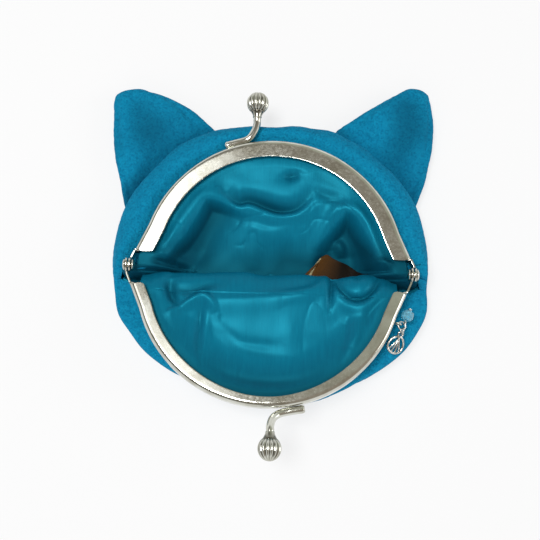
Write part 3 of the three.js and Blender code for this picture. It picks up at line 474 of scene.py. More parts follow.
def silverMaterial():
    # Silver-plated zinc, cast: bright, with dull patches of tarnish
    material, tree = newMaterial("SilverPlatedZincCast", Metallic=1.0)
    tarnish = noiseOf(tree, placeIn(tree), 0.9, 3)
    colour = mixColours(tree, ranged(tree, tarnish, 0.45, 0.7), "#e2e2dd", "#8d8c84")
    rough = ranged(tree, tarnish, 0, 1, 0.12, 0.36)
    return wireUp(material, colour, rough, (tarnish, 0.3, 0.00008))


def beadMaterial():
    # Acrylic, moulded with facets: clear aqua, glossy, a little cloudy inside
    material, tree = newMaterial("AcrylicMouldedClear", Roughness=0.06, IOR=1.49,
                                 Transmission_Weight=0.55)
    cloud = noiseOf(tree, placeIn(tree), 1.2, 2)
    return wireUp(material, mixColours(tree, cloud, "#5cc4e4", "#a8eaf8"))


def ribbonMaterial():
    # Polyester ribbon, woven plain: brown with a fine rib across, a painted highlight as a pale
    # band by its first end, and painted shadow darkening it beyond. The surface's own millimetres
    # place them.
    material, tree = newMaterial("PolyesterRibbonWoven", Specular_IOR_Level=0.12, Roughness=0.55)
    place = placeIn(tree, "UV")
    ribs = addNode(tree, "TexWave", {"Vector": place, "Scale": 0.9, "Distortion": 0.6,
                                     "Detail": 1.0}, bands_direction="Y").outputs[1]
    along = addNode(tree, "SeparateXYZ", {0: place}).outputs[0]
    # painted highlight: a pale band about 1.5 mm from the first end
    fromHighlight = mathOf(tree, "ABSOLUTE", mathOf(tree, "SUBTRACT", along, 1.5))
    paintedHighlight = ranged(tree, fromHighlight, 0.35, 0.7, 0.9, 0.0)
    body = mixColours(tree, ribs, "#4a3014", "#6b4519")
    # painted shadow: darker from 2 to 10 mm along, and on to the far end
    body = mixColours(tree, ranged(tree, along, 2.0, 10.0), body, "#171008")
    return wireUp(material, mixColours(tree, paintedHighlight, body, "#b5ab84"), bump=(ribs, 0.4, 0.0001))


def paperMaterial():
    # Kraft paper, twisted into cord: straw-coloured and matt, with streaks of fibre
    material, tree = newMaterial("KraftPaperTwisted", Roughness=0.9)
    fibres = noiseOf(tree, placeIn(tree), 0.5, 3, (1, 1, 3))
    colour = mixColours(tree, fibres, "#a88f66", "#d8c49a")
    return wireUp(material, colour, bump=(fibres, 0.5, 0.0002))


plush = plushMaterial()
satin = satinMaterial()
nickel = nickelMaterial()
silver = silverMaterial()
acrylic = beadMaterial()
ribbon = ribbonMaterial()
kraft = paperMaterial()
print("materials made")


# The frame's outline, in a half's own frame: +Y to the crest, z = 0 where the halves meet

archCos, archSin = math.cos(purse["legStart"] * deg), math.sin(purse["legStart"] * deg)
legX0 = purse["archRadius"] * archCos
legY0 = purse["archRise"] + purse["archRadius"] * archSin
legSlope = math.tan(purse["legFlare"] * deg)


def legX(y):
    return legX0 + (legY0 - y) * legSlope


def rimReach(angle):
    # From the origin to the rim's outer face: the arch's circle, or the straight leg
    # where the circle's point would lie below the leg's start
    sine, cosine = np.sin(angle), np.abs(np.cos(angle))
    rise, radius = purse["archRise"], purse["archRadius"]
    onArc = rise * sine + np.sqrt(radius**2 - (rise * cosine) ** 2)
    onLeg = (legX0 + legY0 * legSlope) / (cosine + legSlope * sine)
    return np.where(onArc * sine >= legY0, onArc, onLeg)


def channelReach(angle):
    # The rim's distance round the back half, held beyond the channel's ends
    held = np.maximum(np.arcsin(np.sin(angle)), channelEnd * deg)
    return rimReach(held) + purse["halfShift"] * np.cos(angle)


# The head's outline

head = {
    "lift": [-90, -57, -50, -44, -38, -30, -22, -15, -6, 2, 12, 25, 45, 65, 76, 90],
    "out": [0.5, 1.1, 1.7, 3, 4.3, 6.1, 7.4, 8.7, 8.4, 8.8, 9.7, 10.3, 10.3, 10.3, 9.2, 8.2],
    "chinAside": 1.0,        # the chin sits a little to the right
    "chinFrom": [2, 25],     # degrees below the hinge line
}


def liftOf(angle):
    # Degrees above the hinge line, the same on the left and on the right
    return np.degrees(np.arcsin(np.clip(np.sin(angle), -1, 1)))


def headReach(angle):
    # From the origin to the head's outline: the arch's radius and what stands out past it
    lift = liftOf(angle - purse["softTurn"] * deg)
    aside = head["chinAside"] * np.cos(angle) * smoothstep(-lift, *head["chinFrom"])
    return purse["archRadius"] + smoothTable(lift, head["lift"], head["out"]) + aside


def anglesRound(count):
    # Even angles, with more of them where the cloth runs from the seam into the channel
    even = fullTurn(count) - np.pi / 2
    close = np.arange(-9, 8, 0.5) * deg
    every = np.concatenate([even, close, np.pi - close])
    return np.unique(np.round((every + np.pi / 2) % (2 * np.pi) - np.pi / 2, 6))


def sectionRound(angle, pouch, side, back):
    # The cloth's section changes from the pouch's to the back half's in two steps, at
    # the hinge line
    lift = liftOf(angle)[:, None, None]
    first, second = smoothstep(lift, -4, -1), smoothstep(lift, -1, 1.5)
    return between(pouch, side, first) * (1 - second) + back * second


def stacked(angle, rows):
    # Rows of plain numbers and arrays over the angles, as (angles, rows, values)
    full = [[np.broadcast_to(value, angle.shape) for value in row] for row in rows]
    return np.moveaxis(np.array(full, float), -1, 0)


# Frame halves: one stamped strip each. The strip's section runs from the free edge of
# one wall over the rim to the free edge of the other, and loses its walls at the tab.

stamping = {
    "sheet": 0.5,
    "corner": 1.15,          # bending radius at the middle of the sheet
    "turn": 91.5,            # the walls lean in by 1.5 degrees
    "wallEnd": {"back": 4.5, "front": 5.5},
    "wallRun": 1.5,          # the walls turn up over this depth beside their ends
    "wallSoft": 0.35,        # rounding of the walls' end corners
    "narrow": {"back": [0, 0], "front": [1.35, 0.95]},   # wall's loss all along and at the crest
    "crestDeg": 30,
    "eyeRadius": 2.2,
    "tabX": 42.6,
    "tabTop": 2.35,          # the strip leaves the tab for the leg
    "circleTop": 2.19,       # the eye's circle ends here on the upper edge
    "circleLow": [-0.344, -2.173],   # and here on the lower edge, which falls from there
    "tabFall": 0.5114,
    "spacings": [0.16, 0.5],         # steps near the tab and along the arch
    "rounding": 0.45,
    "sectionSteps": 41,
}


def stripLine(half):
    # The strip in plan, from the tab up the leg and round the arch to the crest, and its
    # outward direction at each step
    turns = np.linspace(purse["legStart"], 90, 80) * deg
    arch = np.stack([purse["archRadius"] * np.cos(turns),
                     purse["archRise"] + purse["archRadius"] * np.sin(turns)], -1)
    tabX, bend = stamping["tabX"], stamping["wallEnd"][half] + 0.1
    foot = [[tabX, 0.02 - stamping["eyeRadius"]], [tabX, stamping["tabTop"]], [legX(bend), bend]]
    plan = np.concatenate([foot, arch])
    fine, coarse = (evenly(plan, step, stamping["rounding"]) for step in stamping["spacings"])
    line = np.concatenate([fine[fine[:, 1] < 7], coarse[coarse[:, 1] > 7.2]])
    line[-1, 0] = 0
    way = np.gradient(line, axis=0)
    way /= np.linalg.norm(way, axis=1)[:, None]
    return line, np.stack([way[:, 1], -way[:, 0]], -1)


def stripWalls(line, out, half):
    # The walls' length and turn at each step. They are cut level at their ends, so that
    # beside an end they can only reach in as far as the level cut.
    x, y = line[:, 0], line[:, 1]
    depth = np.maximum(y - stamping["wallEnd"][half], 0) / np.maximum(out[:, 1], 0.2)
    depth = np.where(x < 30, 99, depth)
    turned = stamping["turn"] * deg * smoothstep(depth, 0, stamping["wallRun"])
    alongLoss, crestLoss = stamping["narrow"][half]
    nearCrest = bell(np.degrees(np.arctan2(y, x)) - 90, stamping["crestDeg"])
    full = (purse["channelDepth"] - stamping["sheet"] / 2 - stamping["corner"]
            - alongLoss - crestLoss * nearCrest)
    room = np.maximum(depth - stamping["corner"], 0)
    return np.clip(full - softRamp(full - room, stamping["wallSoft"]), 0.0, full), turned


def stripEdges(y, bent):
    # Upper and lower edge of the strip's flat: the eye's circle, the tab, then the rim
    circle = np.sqrt(np.maximum(stamping["eyeRadius"] ** 2 - y**2, 0.0))
    upper = np.where(y < stamping["circleTop"], circle, purse["rimTop"])
    fallY, fallZ = stamping["circleLow"]
    lower = np.where(y < fallY, -circle, fallZ - stamping["tabFall"] * (y - fallY))
    lower = np.maximum(lower, purse["rimBottom"] + 0.5)
    inset = stamping["sheet"] / 2 + stamping["corner"]
    return (between(upper, purse["rimTop"] - inset, bent),
            between(lower, purse["rimBottom"] + inset, bent))


def stampedPoints(half):
    corner, sheet = stamping["corner"], stamping["sheet"]
    line, out = stripLine(half)
    wall, turned = stripWalls(line, out, half)
    upper, lower = stripEdges(line[:, 1], turned / (stamping["turn"] * deg))
    wall, turned, upper, lower = (a[:, None] for a in (wall, turned, upper, lower))
    flat, arc = np.maximum(upper - lower, 0.04), corner * turned

    # A point of the section by its distance along the strip
    whole = 2 * (wall + arc) + flat
    run = np.linspace(0, 1, stamping["sectionSteps"]) * whole
    near = np.minimum(run, whole - run)                   # distance from the nearer free edge
    inWall = np.clip(wall - near, 0, None)
    angle = np.clip(wall + arc - near, 0, arc) / corner
    across = -sheet / 2 - corner * (1 - np.cos(angle)) - inWall * np.sin(turned)
    past = corner * np.sin(angle) + inWall * np.cos(turned)
    onFlat = np.clip(run - wall - arc, 0, flat)
    height = upper - onFlat + np.where(run < whole / 2, past, -past)
    points = xyz(line[:, :1] + out[:, :1] * across, line[:, 1:] + out[:, 1:] * across, height)
    mirrored = (points * [-1, 1, 1])[-2::-1]
    return onHalf(sheetPoints(np.concatenate([points, mirrored]), sheet), half)


def softenEdges(piece, width, angle):
    edge = piece.modifiers.new("softEdge", "BEVEL")
    edge.width, edge.segments = width * mm, 2
    edge.limit_method, edge.angle_limit = "ANGLE", angle * deg


for half in ("back", "front"):
    piece = makePiece(f"{half}Channel", stampedPoints(half), nickel, wrapColumns=True,
                      strips=True)
    softenEdges(piece, 0.12, 50)
    assign(piece, half, "nickel", f"{half}_frame_channel")
print("frame halves made")


# Hinge rivets: a shank and two domed heads along the hinge line

rivet = {"shank": 0.9, "head": 1.8, "dome": 0.75, "inner": 41.2, "outer": 43.4}


def rivetPoints():
    # The profile of both domes and the shank between them, turned round the hinge line
    dome = np.linspace(0, math.pi / 2, 9)
    cap = np.stack([rivet["head"] * np.sin(dome), rivet["dome"] * np.cos(dome)], -1)[1:]
    inner = np.stack([cap[:, 0], rivet["inner"] - cap[:, 1]], -1)
    outer = np.stack([cap[::-1, 0], rivet["outer"] + cap[::-1, 1]], -1)
    shank = [[rivet["shank"], rivet["inner"]], [rivet["shank"], rivet["outer"]]]
    return turnedPoints(np.concatenate([inner, shank, outer]), 40, "x")


for side, name in ((1, "right"), (-1, "left")):
    points = rivetPoints() * [side, 1, 1] + [0, 0, purse["hingeHeight"]]
    ends = [[side * (rivet["inner"] - rivet["dome"]), 0, purse["hingeHeight"]],
            [side * (rivet["outer"] + rivet["dome"]), 0, purse["hingeHeight"]]]
    piece = makePiece(f"{name}Rivet", points, nickel, wrapColumns=True, poles=ends)
    assign(piece, "back", "nickel", f"hinge_rivet_{name}")


# Clasp: a bent stem brazed along the rim, and a melon-fluted ball with a collar

clasp = {
    "ballRadius": 3.4, "ballReach": 52.0, "ballMiddle": -2.25, "ballSpacing": 7.3,
    "stem": 1.15, "tail": 1.2, "tailLength": 7.0,
    "bendAside": 2.6,        # the stem leaves the rim this far beside its ball
    "collar": 1.95, "collarLength": 1.3,
    "flutes": 16, "fluteDepth": 0.42, "sides": 160,
    # painted shade on the collar, in the flute dips and round the neck
    "collarShade": [0.1, 0.1, 0.2, 0.4, 0.8, 0.9], "fluteShade": 0.9, "neckShade": 0.8,
}
stemEnd = clasp["ballReach"] - clasp["ballRadius"] - clasp["collarLength"]


def stemPath(ballX):
    # Beside the rim, then out and up in a bend to the ball's collar
    mid = (purse["rimTop"] + purse["rimBottom"]) / 2
    bendReach = purse["archRadius"] + 0.3 + clasp["stem"]
    bendX, length = ballX - clasp["bendAside"], clasp["tailLength"]

    def beside(x, reach):
        return [x, purse["archRise"] + math.sqrt(reach**2 - x**2), mid]

    foot = bendReach + purse["archRise"]
    rise = stemEnd - 0.3 - foot
    route = [beside(bendX - length, bendReach - clasp["stem"] + clasp["tail"] - 0.1),
             beside(bendX - length / 2, bendReach - 0.25), beside(bendX, bendReach + 0.1),
             [ballX - 0.7, foot + 0.28 * rise, -1.7], [ballX, foot + 0.69 * rise, -0.6],
             [ballX, stemEnd - 0.6, 0], [ballX, stemEnd + 1.0, 0]]
    return evenly(throughPoints(route, np.linspace(0, 6, 90)), 0.35, 0.3)


def stemPoints(path):
    # A round wire, a little thicker beside the rim and blunt at its end there
    share = np.linspace(0, 1, len(path))
    radius = between(clasp["tail"], clasp["stem"], smoothstep(share, 0, 0.4))
    radius = radius * np.clip(0.75 + np.arange(len(path)) / 6, 0, 1)
    return tubePoints(path, (radius, radius), 28)


def ballPoints(ballX):
    # A sphere whose radius dips between the flutes, fading out at the tip and collar, and
    # under it the collar's profile; painted shade lies in the dips, round the neck and on the
    # collar
    radius, collar, stem, sides = (clasp[k] for k in ("ballRadius", "collar", "stem", "sides"))
    neck = math.asin(collar / radius)
    polar = np.linspace(neck, math.pi - 0.06, 44)[:, None]
    turn = fullTurn(sides)[None]
    groove = np.sin(polar) ** 0.7 * (1 - np.abs(np.sin(turn * clasp["flutes"] / 2)))
    r = radius - clasp["fluteDepth"] * groove
    ball = xyz(r * np.sin(polar) * np.sin(turn), -r * np.cos(polar),
               r * np.sin(polar) * np.cos(turn))
    low, foot = -radius - clasp["collarLength"], -radius * math.cos(neck)
    profile = [[stem * 0.6, low], [stem + 0.12, low], [stem + 0.2, low + 0.15],
               [stem + 0.22, low + 0.7], [collar - 0.1, foot - 0.25], [collar, foot - 0.08]]
    onCollar = np.repeat(clasp["collarShade"], sides).reshape(-1, sides)
    onBall = (clasp["fluteShade"] * np.clip(groove, 0, 1) ** 1.5
              + clasp["neckShade"] * smoothstep(-polar, -neck - 0.25, -neck))
    points = np.concatenate([turnedPoints(profile, sides), ball]) + [ballX, clasp["ballReach"], 0]
    return points, np.clip(np.concatenate([onCollar, onBall]), 0, 0.95)


for half, sign in (("back", 1), ("front", -1)):
    ballX = sign * (clasp["ballMiddle"] - sign * clasp["ballSpacing"] / 2) - purse["halfShift"]
    path = stemPath(ballX)
    piece = makePiece(f"{half}Stem", onHalf(stemPoints(path), half), nickel, wrapColumns=True,
                      poles=onHalf([path[0], path[-1]], half))
    assign(piece, half, "nickel", f"{half}_clasp_stem")
    tip = clasp["ballReach"] + clasp["ballRadius"]
    points, ballShade = ballPoints(ballX)
    piece = makePiece(f"{half}Ball", onHalf(points, half), nickel, wrapColumns=True, napAndShade=ballShade,
                      poles=onHalf([[ballX, stemEnd, 0], [ballX, tip, 0]], half))
    assign(piece, half, "nickel", f"{half}_clasp_ball")
    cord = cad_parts[f"{half}_paper_cord"]
    cord.data.materials.clear()
    cord.data.materials.append(kraft)
print("clasp and rivets made")


# Plush back: flat on the table, and round the back half rolled over outside the frame,
# run back under it and tucked into the channel

backPanel = {
    "angles": 330,
    "rollTop": 12.1,
    "lumps": [11, 3, 0.3],   # size, seed and height
    "gathers": 0.22,         # depth of the gathers that run into the channel
    "gatherSize": 5.5,
}
plushTufts = {"size": 1.5, "seed": 5, "waves": 24, "height": 0.04}


def pileHeight(points, size, seed, height):
    # The plush's fine tufts, and its broad lumps of a size, seed and height
    tufts = ripple(points, plushTufts["size"], plushTufts["seed"], plushTufts["waves"])
    return tufts * plushTufts["height"] + ripple(points, size, seed) * height


def backPanelPoints():
    angle = anglesRound(backPanel["angles"])
    out, rim = headReach(angle), channelReach(angle)
    wall = rim - purse["channelDepth"] - 0.3
    thick, half = purse["plush"], purse["plush"] / 2
    tongue = purse["hingeHeight"] - 3.55                # the cloth's edge in the channel
    under = channelFloor - 0.75
    # Rows of reach, height of the sheet's middle, and thickness
    flat = [[20, half, thick], [out - 9, half, thick], [out - 3.6, half + 0.3, thick]]
    pouch = stacked(angle, flat + [
        [out - 1.6, half + 1.5, thick], [out - 0.9, half + 3, thick], [out - half, 4.6, thick],
        [out - half, 5, thick], [out - half - 0.05, 5.4, thick], [out - half - 0.2, 5.8, thick],
        [out - half - 0.5, 6.15, 1.4], [out - half - 1.1, 6.35, 1.0]])
    side = stacked(angle, flat + [
        [out - 1.4, half + 1.9, thick], [out - 0.8, 5.5, 1.4], [out - 0.9, 7.5, 1.3],
        [out - 1, 9.1, 1.2], [out - 1.2, 9.9, 1.1], [out - 1.6, 10.6, 1.0],
        [out - 2.4, 11.1, 0.9], [out - 3.6, tongue - 1, 0.7]])
    roll = stacked(angle, flat + [
        [out - 1.2, half + 2.2, thick], [out - half, 6.2, thick], [out - 1.7, 9.5, thick],
        [rim + 4.0, backPanel["rollTop"], 1.3], [rim - 0.5, under - 0.1, 0.9],
        [wall - 0.9, under + 0.1, 0.7], [wall - 0.95, tongue - 0.35, 0.6],
        [rim - 1.4, tongue, 0.6]])
    steps = stepsOver((0, 2, 9), (2, 7, 52), (7, 10, 13))
    section = throughPoints(sectionRound(angle, pouch, side, roll), steps)
    reach, height, thickness = np.moveaxis(section, (2, 1), (0, 1))
    middle = xyz(reach * np.cos(angle), reach * np.sin(angle), height)
    normal = acrossGrid(middle, wrap=True)
    if normal[0, 0, 2] > 0:
        normal = -normal                                # outwards: down at the table
    up = smoothstep(height, 1.2, 4)
    towards = smoothstep(steps, 4.3, 6.6) * (1 - smoothstep(steps, 7, 8))
    pull = np.abs(ripple(xyz(angle * 40, 0, 0), backPanel["gatherSize"], 8))
    pull = pull * smoothstep(liftOf(angle), 2, 8)
    gather = -backPanel["gathers"] * pull * towards[:, None]
    pile = pileHeight(middle, *backPanel["lumps"])
    return discPoints(middle + normal * (pile * up + gather)[..., None], thickness)


piece = makePiece("backPlushPanel", backPanelPoints(), plush, wrapColumns=True,
                  poles=[[0, 0, 0], [0, 0, purse["plush"]]])
assign(piece, "back", "plush", "back_plush_panel", "back_wadding")
print("back panel made")


# Front panel: one width of plush and one of lining, sewn in at the chin, folded back on
# themselves at the lip and tucked into the front half's channel

frontPanel = {
    "columns": 200,
    "flapDeg": 6.5,          # the flap's edge in the channel starts so far round the arch
    "rim": 1.4,              # cloth's edge in the channel, from the rim
    "sideDeg": 2.5,          # where the pouch's side seam starts below the hinge line
    "lipHalf": 38.6,
    "lipY": 6.5,             # where the flap starts to roll down, in the half's own frame
    "lipX": [-38.6, -33, -26, -16, 0, 14, 19, 24, 29, 34, 38.6],
    "lipNose": [4.6, 5.6, 6.0, 6.3, 6.3, 6.2, 5.9, 6.3, 7.3, 6.6, 4.8],
    "lipPoint": 1.35,        # 1 gives the fold a round section, and more a pointed one
    "lipFall": 0.12,         # how much the fold's nose points down
    "pucker": 0.3,
    "sag": 2.8,
    "ripple": 0.1,
    "crumple": 0.3,
    "lumps": [10, 3, 0.25],
    "flapPile": 0.3,         # share of the pile's height that is left under the flap's lining
}

# The panel's two cloths. A depth or a loss is counted from the lining's face of the flap;
# on the pouch the order is turned round, with the plush on top.
frontCloths = {
    "lining": {"thickness": 0.35, "steps": (56, 52, 100), "depth": 0.0, "chinInset": 2.65,
               "underTop": 1.625, "aboveSeam": 0.2, "curl": 0.0, "noseLoss": 0.0, "lipLoss": 0.0},
    "plush": {"thickness": 1.3, "steps": (70, 40, 60), "depth": 1.0, "chinInset": 0.45,
              "underTop": 0.65, "aboveSeam": 0.5, "curl": 0.5, "noseLoss": 1.9, "lipLoss": 0.9},
}

# The pouch's top: a swell from the seam to a crown under the laid-open front half
crown = {"seamRise": 0.8, "roundness": 6, "gap": 0.45, "flare": 0.9,
         "dent": {"depth": 2.4, "y": -24, "wide": 26, "long": 11}, "pressSoft": 0.35}

# A leaning plane parts the pouch's top below it from the flap above it; the cloth turns
# over from the back half to the front half in a thin band that starts at the plane
parting = {"y": -6.0, "height": 8.1, "lean": 4.5 * deg, "band": 1.15, "clearance": 0.4}

# Folds of the flap's lining in the shared frame: line, widths on its left and right, height
flapFolds = [
    ([[-24.0, -8.0], [-19.0, -9.0], [-8.9, -8.6], [5.9, -7.0], [15.5, -5.6]], (1.6, 3.5), 0.7),
    ([[18.8, 3.0], [18.5, -4.0], [18.0, -10.5]], (0.8, 1.0), -1.5),
    ([[17.6, 1.5], [15.0, -3.6], [10.0, -6.2], [3.0, -7.4]], (2.0, 1.6), 0.9),
    ([[19.6, 1.0], [21.0, -3.8], [24.6, -6.8], [28.8, -6.2], [32.6, -1.6], [33.6, 1.5]],
     (1.0, 1.1), -1.9),
    ([[22.8, 1.0], [26.4, -3.0], [30.2, 0.6]], (2.0, 2.0), 0.9),
    ([[19.4, -4.0], [22.8, -9.0], [28.4, -9.2], [34.0, -4.4]], (1.6, 1.8), 0.9),
    ([[-31.0, -14.0], [-25.2, -10.4], [-20.4, -7.4], [-17.2, -9.4], [-15.4, -13.0]],
     (0.9, 1.8), 1.3),
    ([[-30.4, -2.5], [-29.8, -7.5], [-27.4, -10.6]], (1.8, 1.2), -2.1),
    ([[-31.5, -5.0], [-25.0, -6.4], [-19.4, -4.6], [-15.0, -4.4]], (1.8, 1.8), -1.2),
    ([[-20.2, -8.8], [-20.6, -15.7], [-20.0, -25.0]], (1.1, 1.2), -0.9),
    ([[-18.2, -11.0], [-18.6, -16.7], [-18.2, -25.0]], (1.2, 1.4), 0.5),
    ([[27.5, -9.5], [26.0, -16.0], [23.2, -28.0]], (1.8, 3.0), 0.9),
    ([[23.6, -11.0], [22.6, -18.0], [20.4, -29.0]], (1.2, 1.2), -0.5),
    ([[-15.5, -15.0], [-10.7, -19.5], [-7.1, -21.4], [3.5, -21.6]], (1.3, 2.0), 0.35),
    ([[-13.0, -17.8], [-8.2, -22.4], [2.5, -24.2]], (1.5, 1.5), -0.35),
    ([[-18.0, -29.5], [-8.0, -33.2], [8.0, -33.6], [19.0, -29.5]], (2.2, 2.2), -0.8),
    ([[4.0, -10.0], [6.5, -17.0], [5.5, -25.0]], (3.0, 3.0), 0.3),
    ([[36.0, -6.0], [31.0, -10.0], [28.5, -16.0]], (1.2, 1.6), -0.7),
    ([[-35.5, -6.5], [-33.0, -13.0], [-28.0, -21.0]], (1.4, 1.8), -0.7),
]


def pouchTop(x, y):
    # Height of the pouch's top, which is dented and pressed in under the flap
    reach = np.minimum(np.hypot(x, y) / headReach(np.arctan2(y, x)), 1)
    seam = purse["seamHeight"] + crown["seamRise"]
    rise = crown["flare"] * math.tan(purse["layOpen"] * deg) * np.abs(y)
    peak = channelFloor - crown["gap"] + rise
    dent = crown["dent"]
    dip = dent["depth"] * bell(x, dent["wide"]) * bell(y - dent["y"], dent["long"])
    top = seam + (peak - seam) * np.sqrt(1 - reach ** crown["roundness"]) - dip
    most = (parting["height"] - parting["clearance"]
            + (parting["y"] - y) * math.tan(parting["lean"]))
    return most - softRamp(most - top, crown["pressSoft"])


def frontPanelPoints(kind):
    cloth, panel = frontCloths[kind], frontPanel
    u = np.linspace(0, 1, panel["columns"])
    lipX = (2 * u - 1) * panel["lipHalf"]
    pouchSteps, foldSteps, flapSteps = cloth["steps"]

    # Flap: from the lip to the channel, in the front half's own frame (its x is turned)
    edgeAngle = between(panel["flapDeg"] * deg, np.pi - panel["flapDeg"] * deg, u)
    edgeReach = rimReach(edgeAngle) - panel["rim"]
    v = np.linspace(0, 1, flapSteps)[:, None]
    x = between(lipX, -edgeReach * np.cos(edgeAngle), v)
    y = between(panel["lipY"], edgeReach * np.sin(edgeAngle), v)
    gap = rimReach(np.arctan2(y, x)) - np.hypot(x, y)      # distance from the rim
    inside = smoothstep(gap, 4.6, 8.5)
    sag = panel["sag"] * smoothstep(gap, 4.4, 16) * between(0.3, 1, smoothstep(v, 0, 0.4))
    folds = foldHeight(x - purse["halfShift"], -y, flapFolds) * inside
    small = (ripple(xyz(x * 1.4, y * 0.8, 0), 12, 21) * panel["ripple"]
             + crumple(x * 1.3, y * 0.8, 13, 41) * panel["crumple"]) * inside
    flap = onHalf(xyz(-x, y, liningInChannel - cloth["depth"] - sag), "front")

    # Pouch: from the chin's seam to the lip
    angle = between(panel["sideDeg"] - 180, -panel["sideDeg"], u) * deg
    reach = headReach(angle) - cloth["chinInset"]
    v = np.linspace(1, 0, pouchSteps)[:, None] ** 0.6
    px = between(lipX, reach * np.cos(angle), v)
    py = between(-panel["lipY"], reach * np.sin(angle), v)
    pz = np.maximum(pouchTop(px, py) - cloth["underTop"], purse["seamHeight"] + cloth["aboveSeam"])
    pouch = xyz(px, py, pz - cloth["curl"] * smoothstep(v, 0.985, 1.0))

    # Fold: half an oval from the pouch's end to the flap's start, its nose towards +Y
    first, last = pouch[-1], flap[0]
    middle, arm = (first + last) / 2, (last - first) / 2
    nose = smoothTable(lipX, panel["lipX"], panel["lipNose"]) - cloth["noseLoss"]
    pucker = panel["pucker"] * ripple(xyz(lipX, 0, 0), 9, 31)
    forward = xyz(0, nose + pucker, -panel["lipFall"] * nose)
    bend = np.linspace(-np.pi / 2, np.pi / 2, foldSteps + 2)[1:-1, None, None]
    point = panel["lipPoint"]
    fold = (middle + arm * np.sign(bend) * np.abs(np.sin(bend)) ** point
            + forward * np.cos(bend) ** point)

    # The drawn folds run on over the lip and fade under it; plush keeps inside the lining
    ends = smoothstep(panel["lipHalf"] - 1 - np.abs(lipX), 0, 6)
    above = smoothstep(bend[..., 0], -0.9, 0.6)
    overLip = foldHeight(fold[..., 0], fold[..., 1], flapFolds) * above * ends
    overLip = overLip - cloth["lipLoss"] * above
    whole = np.concatenate([pouch, fold, flap])
    onFold, onFlap = slice(pouchSteps, pouchSteps + foldSteps), slice(pouchSteps + foldSteps, None)
    aside = acrossGrid(whole)[onFold]
    aside = aside * np.sign(aside[-1:, :, 2:].mean())
    tilt = purse["layOpen"] * deg
    whole[onFold] += aside * overLip[..., None]
    whole[onFlap] += (folds + small)[..., None] * np.array([0, math.sin(tilt), math.cos(tilt)])

    # Painted shade on the satin: in the creases, in the folds over the lip, at the flap's end by
    # the chin and under the rim
    nearChin = np.clip(np.sin(edgeAngle), 0, 1) ** 2 * (1 - smoothstep(gap, 5, 15))
    nearRim = 1 - smoothstep(gap, 3.6, 6.2)
    creaseShade = np.clip(-(folds + small) / 3.2, 0, 0.5)
    paintedShade = np.concatenate([0 * px, np.clip(-overLip / 3, 0, 0.5),
                             creaseShade + 0.55 * nearChin + 0.4 * nearRim])
    if kind == "plush":
        held = np.ones((len(whole), 1))
        held[pouchSteps:], held[:2] = panel["flapPile"], 0
        whole = whole + acrossGrid(whole) * (pileHeight(whole, *panel["lumps"]) * held)[..., None]
    return sheetPoints(whole, cloth["thickness"]), np.hstack([paintedShade, paintedShade[:, ::-1]])


# the lining carries its painted shade as a value per point
points, paintedShade = frontPanelPoints("lining")
frontLining = makePiece("frontLining", points, satin, wrapColumns=True, strips=True, napAndShade=paintedShade)
points = frontPanelPoints("plush")[0]
frontPlush = makePiece("frontPlush", points, plush, wrapColumns=True, strips=True)
# Across the hinge the cloth follows the back half under the fold and the front half over it
for piece, kind, slot in ((frontLining, "lining", "satin"), (frontPlush, "plush", "plush")):
    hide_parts(f"front_flap_{kind}", f"pouch_front_{kind}")
    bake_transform(piece)
print("front panel made")


# Back lining: the pouch's floor and the puffed shelf that rises to the back channel

backLining = {
    "angles": 340,
    "thickness": 0.35,
    "ripple": 0.1,
    "crumple": 0.32,
    "lowest": [2.3, 0.5],    # the floor's least height, and how softly it's met
    "floorY": [-60, -20, -8, 0, 4, 8, 12, 16, 20, 24, 30, 60],
    "floorRise": [0, 0, 0.01, 0.04, 0.12, 0.27, 0.46, 0.64, 0.8, 0.91, 0.97, 1],
    "hollow": 5.0,
    "pole": 0.17,
}

# The two deep hollows beside the mouth. Each shoals where (a x + b y) falls from high to
# low: the left one towards the middle of the mouth, the right one to its lower left.
hollows = [
    {"edge": 3.0, "slope": (-1, 0.7), "low": 15, "high": 34,
     "outline": [[-20.6, 22.4], [-15.8, 21.8], [-9.6, 19.4], [-2.0, 16.0], [0.0, 8.0],
                 [-4.0, -2.0], [-34.0, -2.0], [-31.0, 5.0], [-27.2, 10.4], [-23.6, 16.4]]},
    {"edge": 4.2, "slope": (1, 0.5), "low": 12, "high": 30,
     "outline": [[22.3, 20.2], [19.0, 16.2], [15.2, 11.6], [11.0, 7.0], [8.0, -2.0],
                 [34.0, -2.0], [32.4, 4.6], [31.0, 9.2], [28.0, 14.8], [25.2, 18.8]]},
]

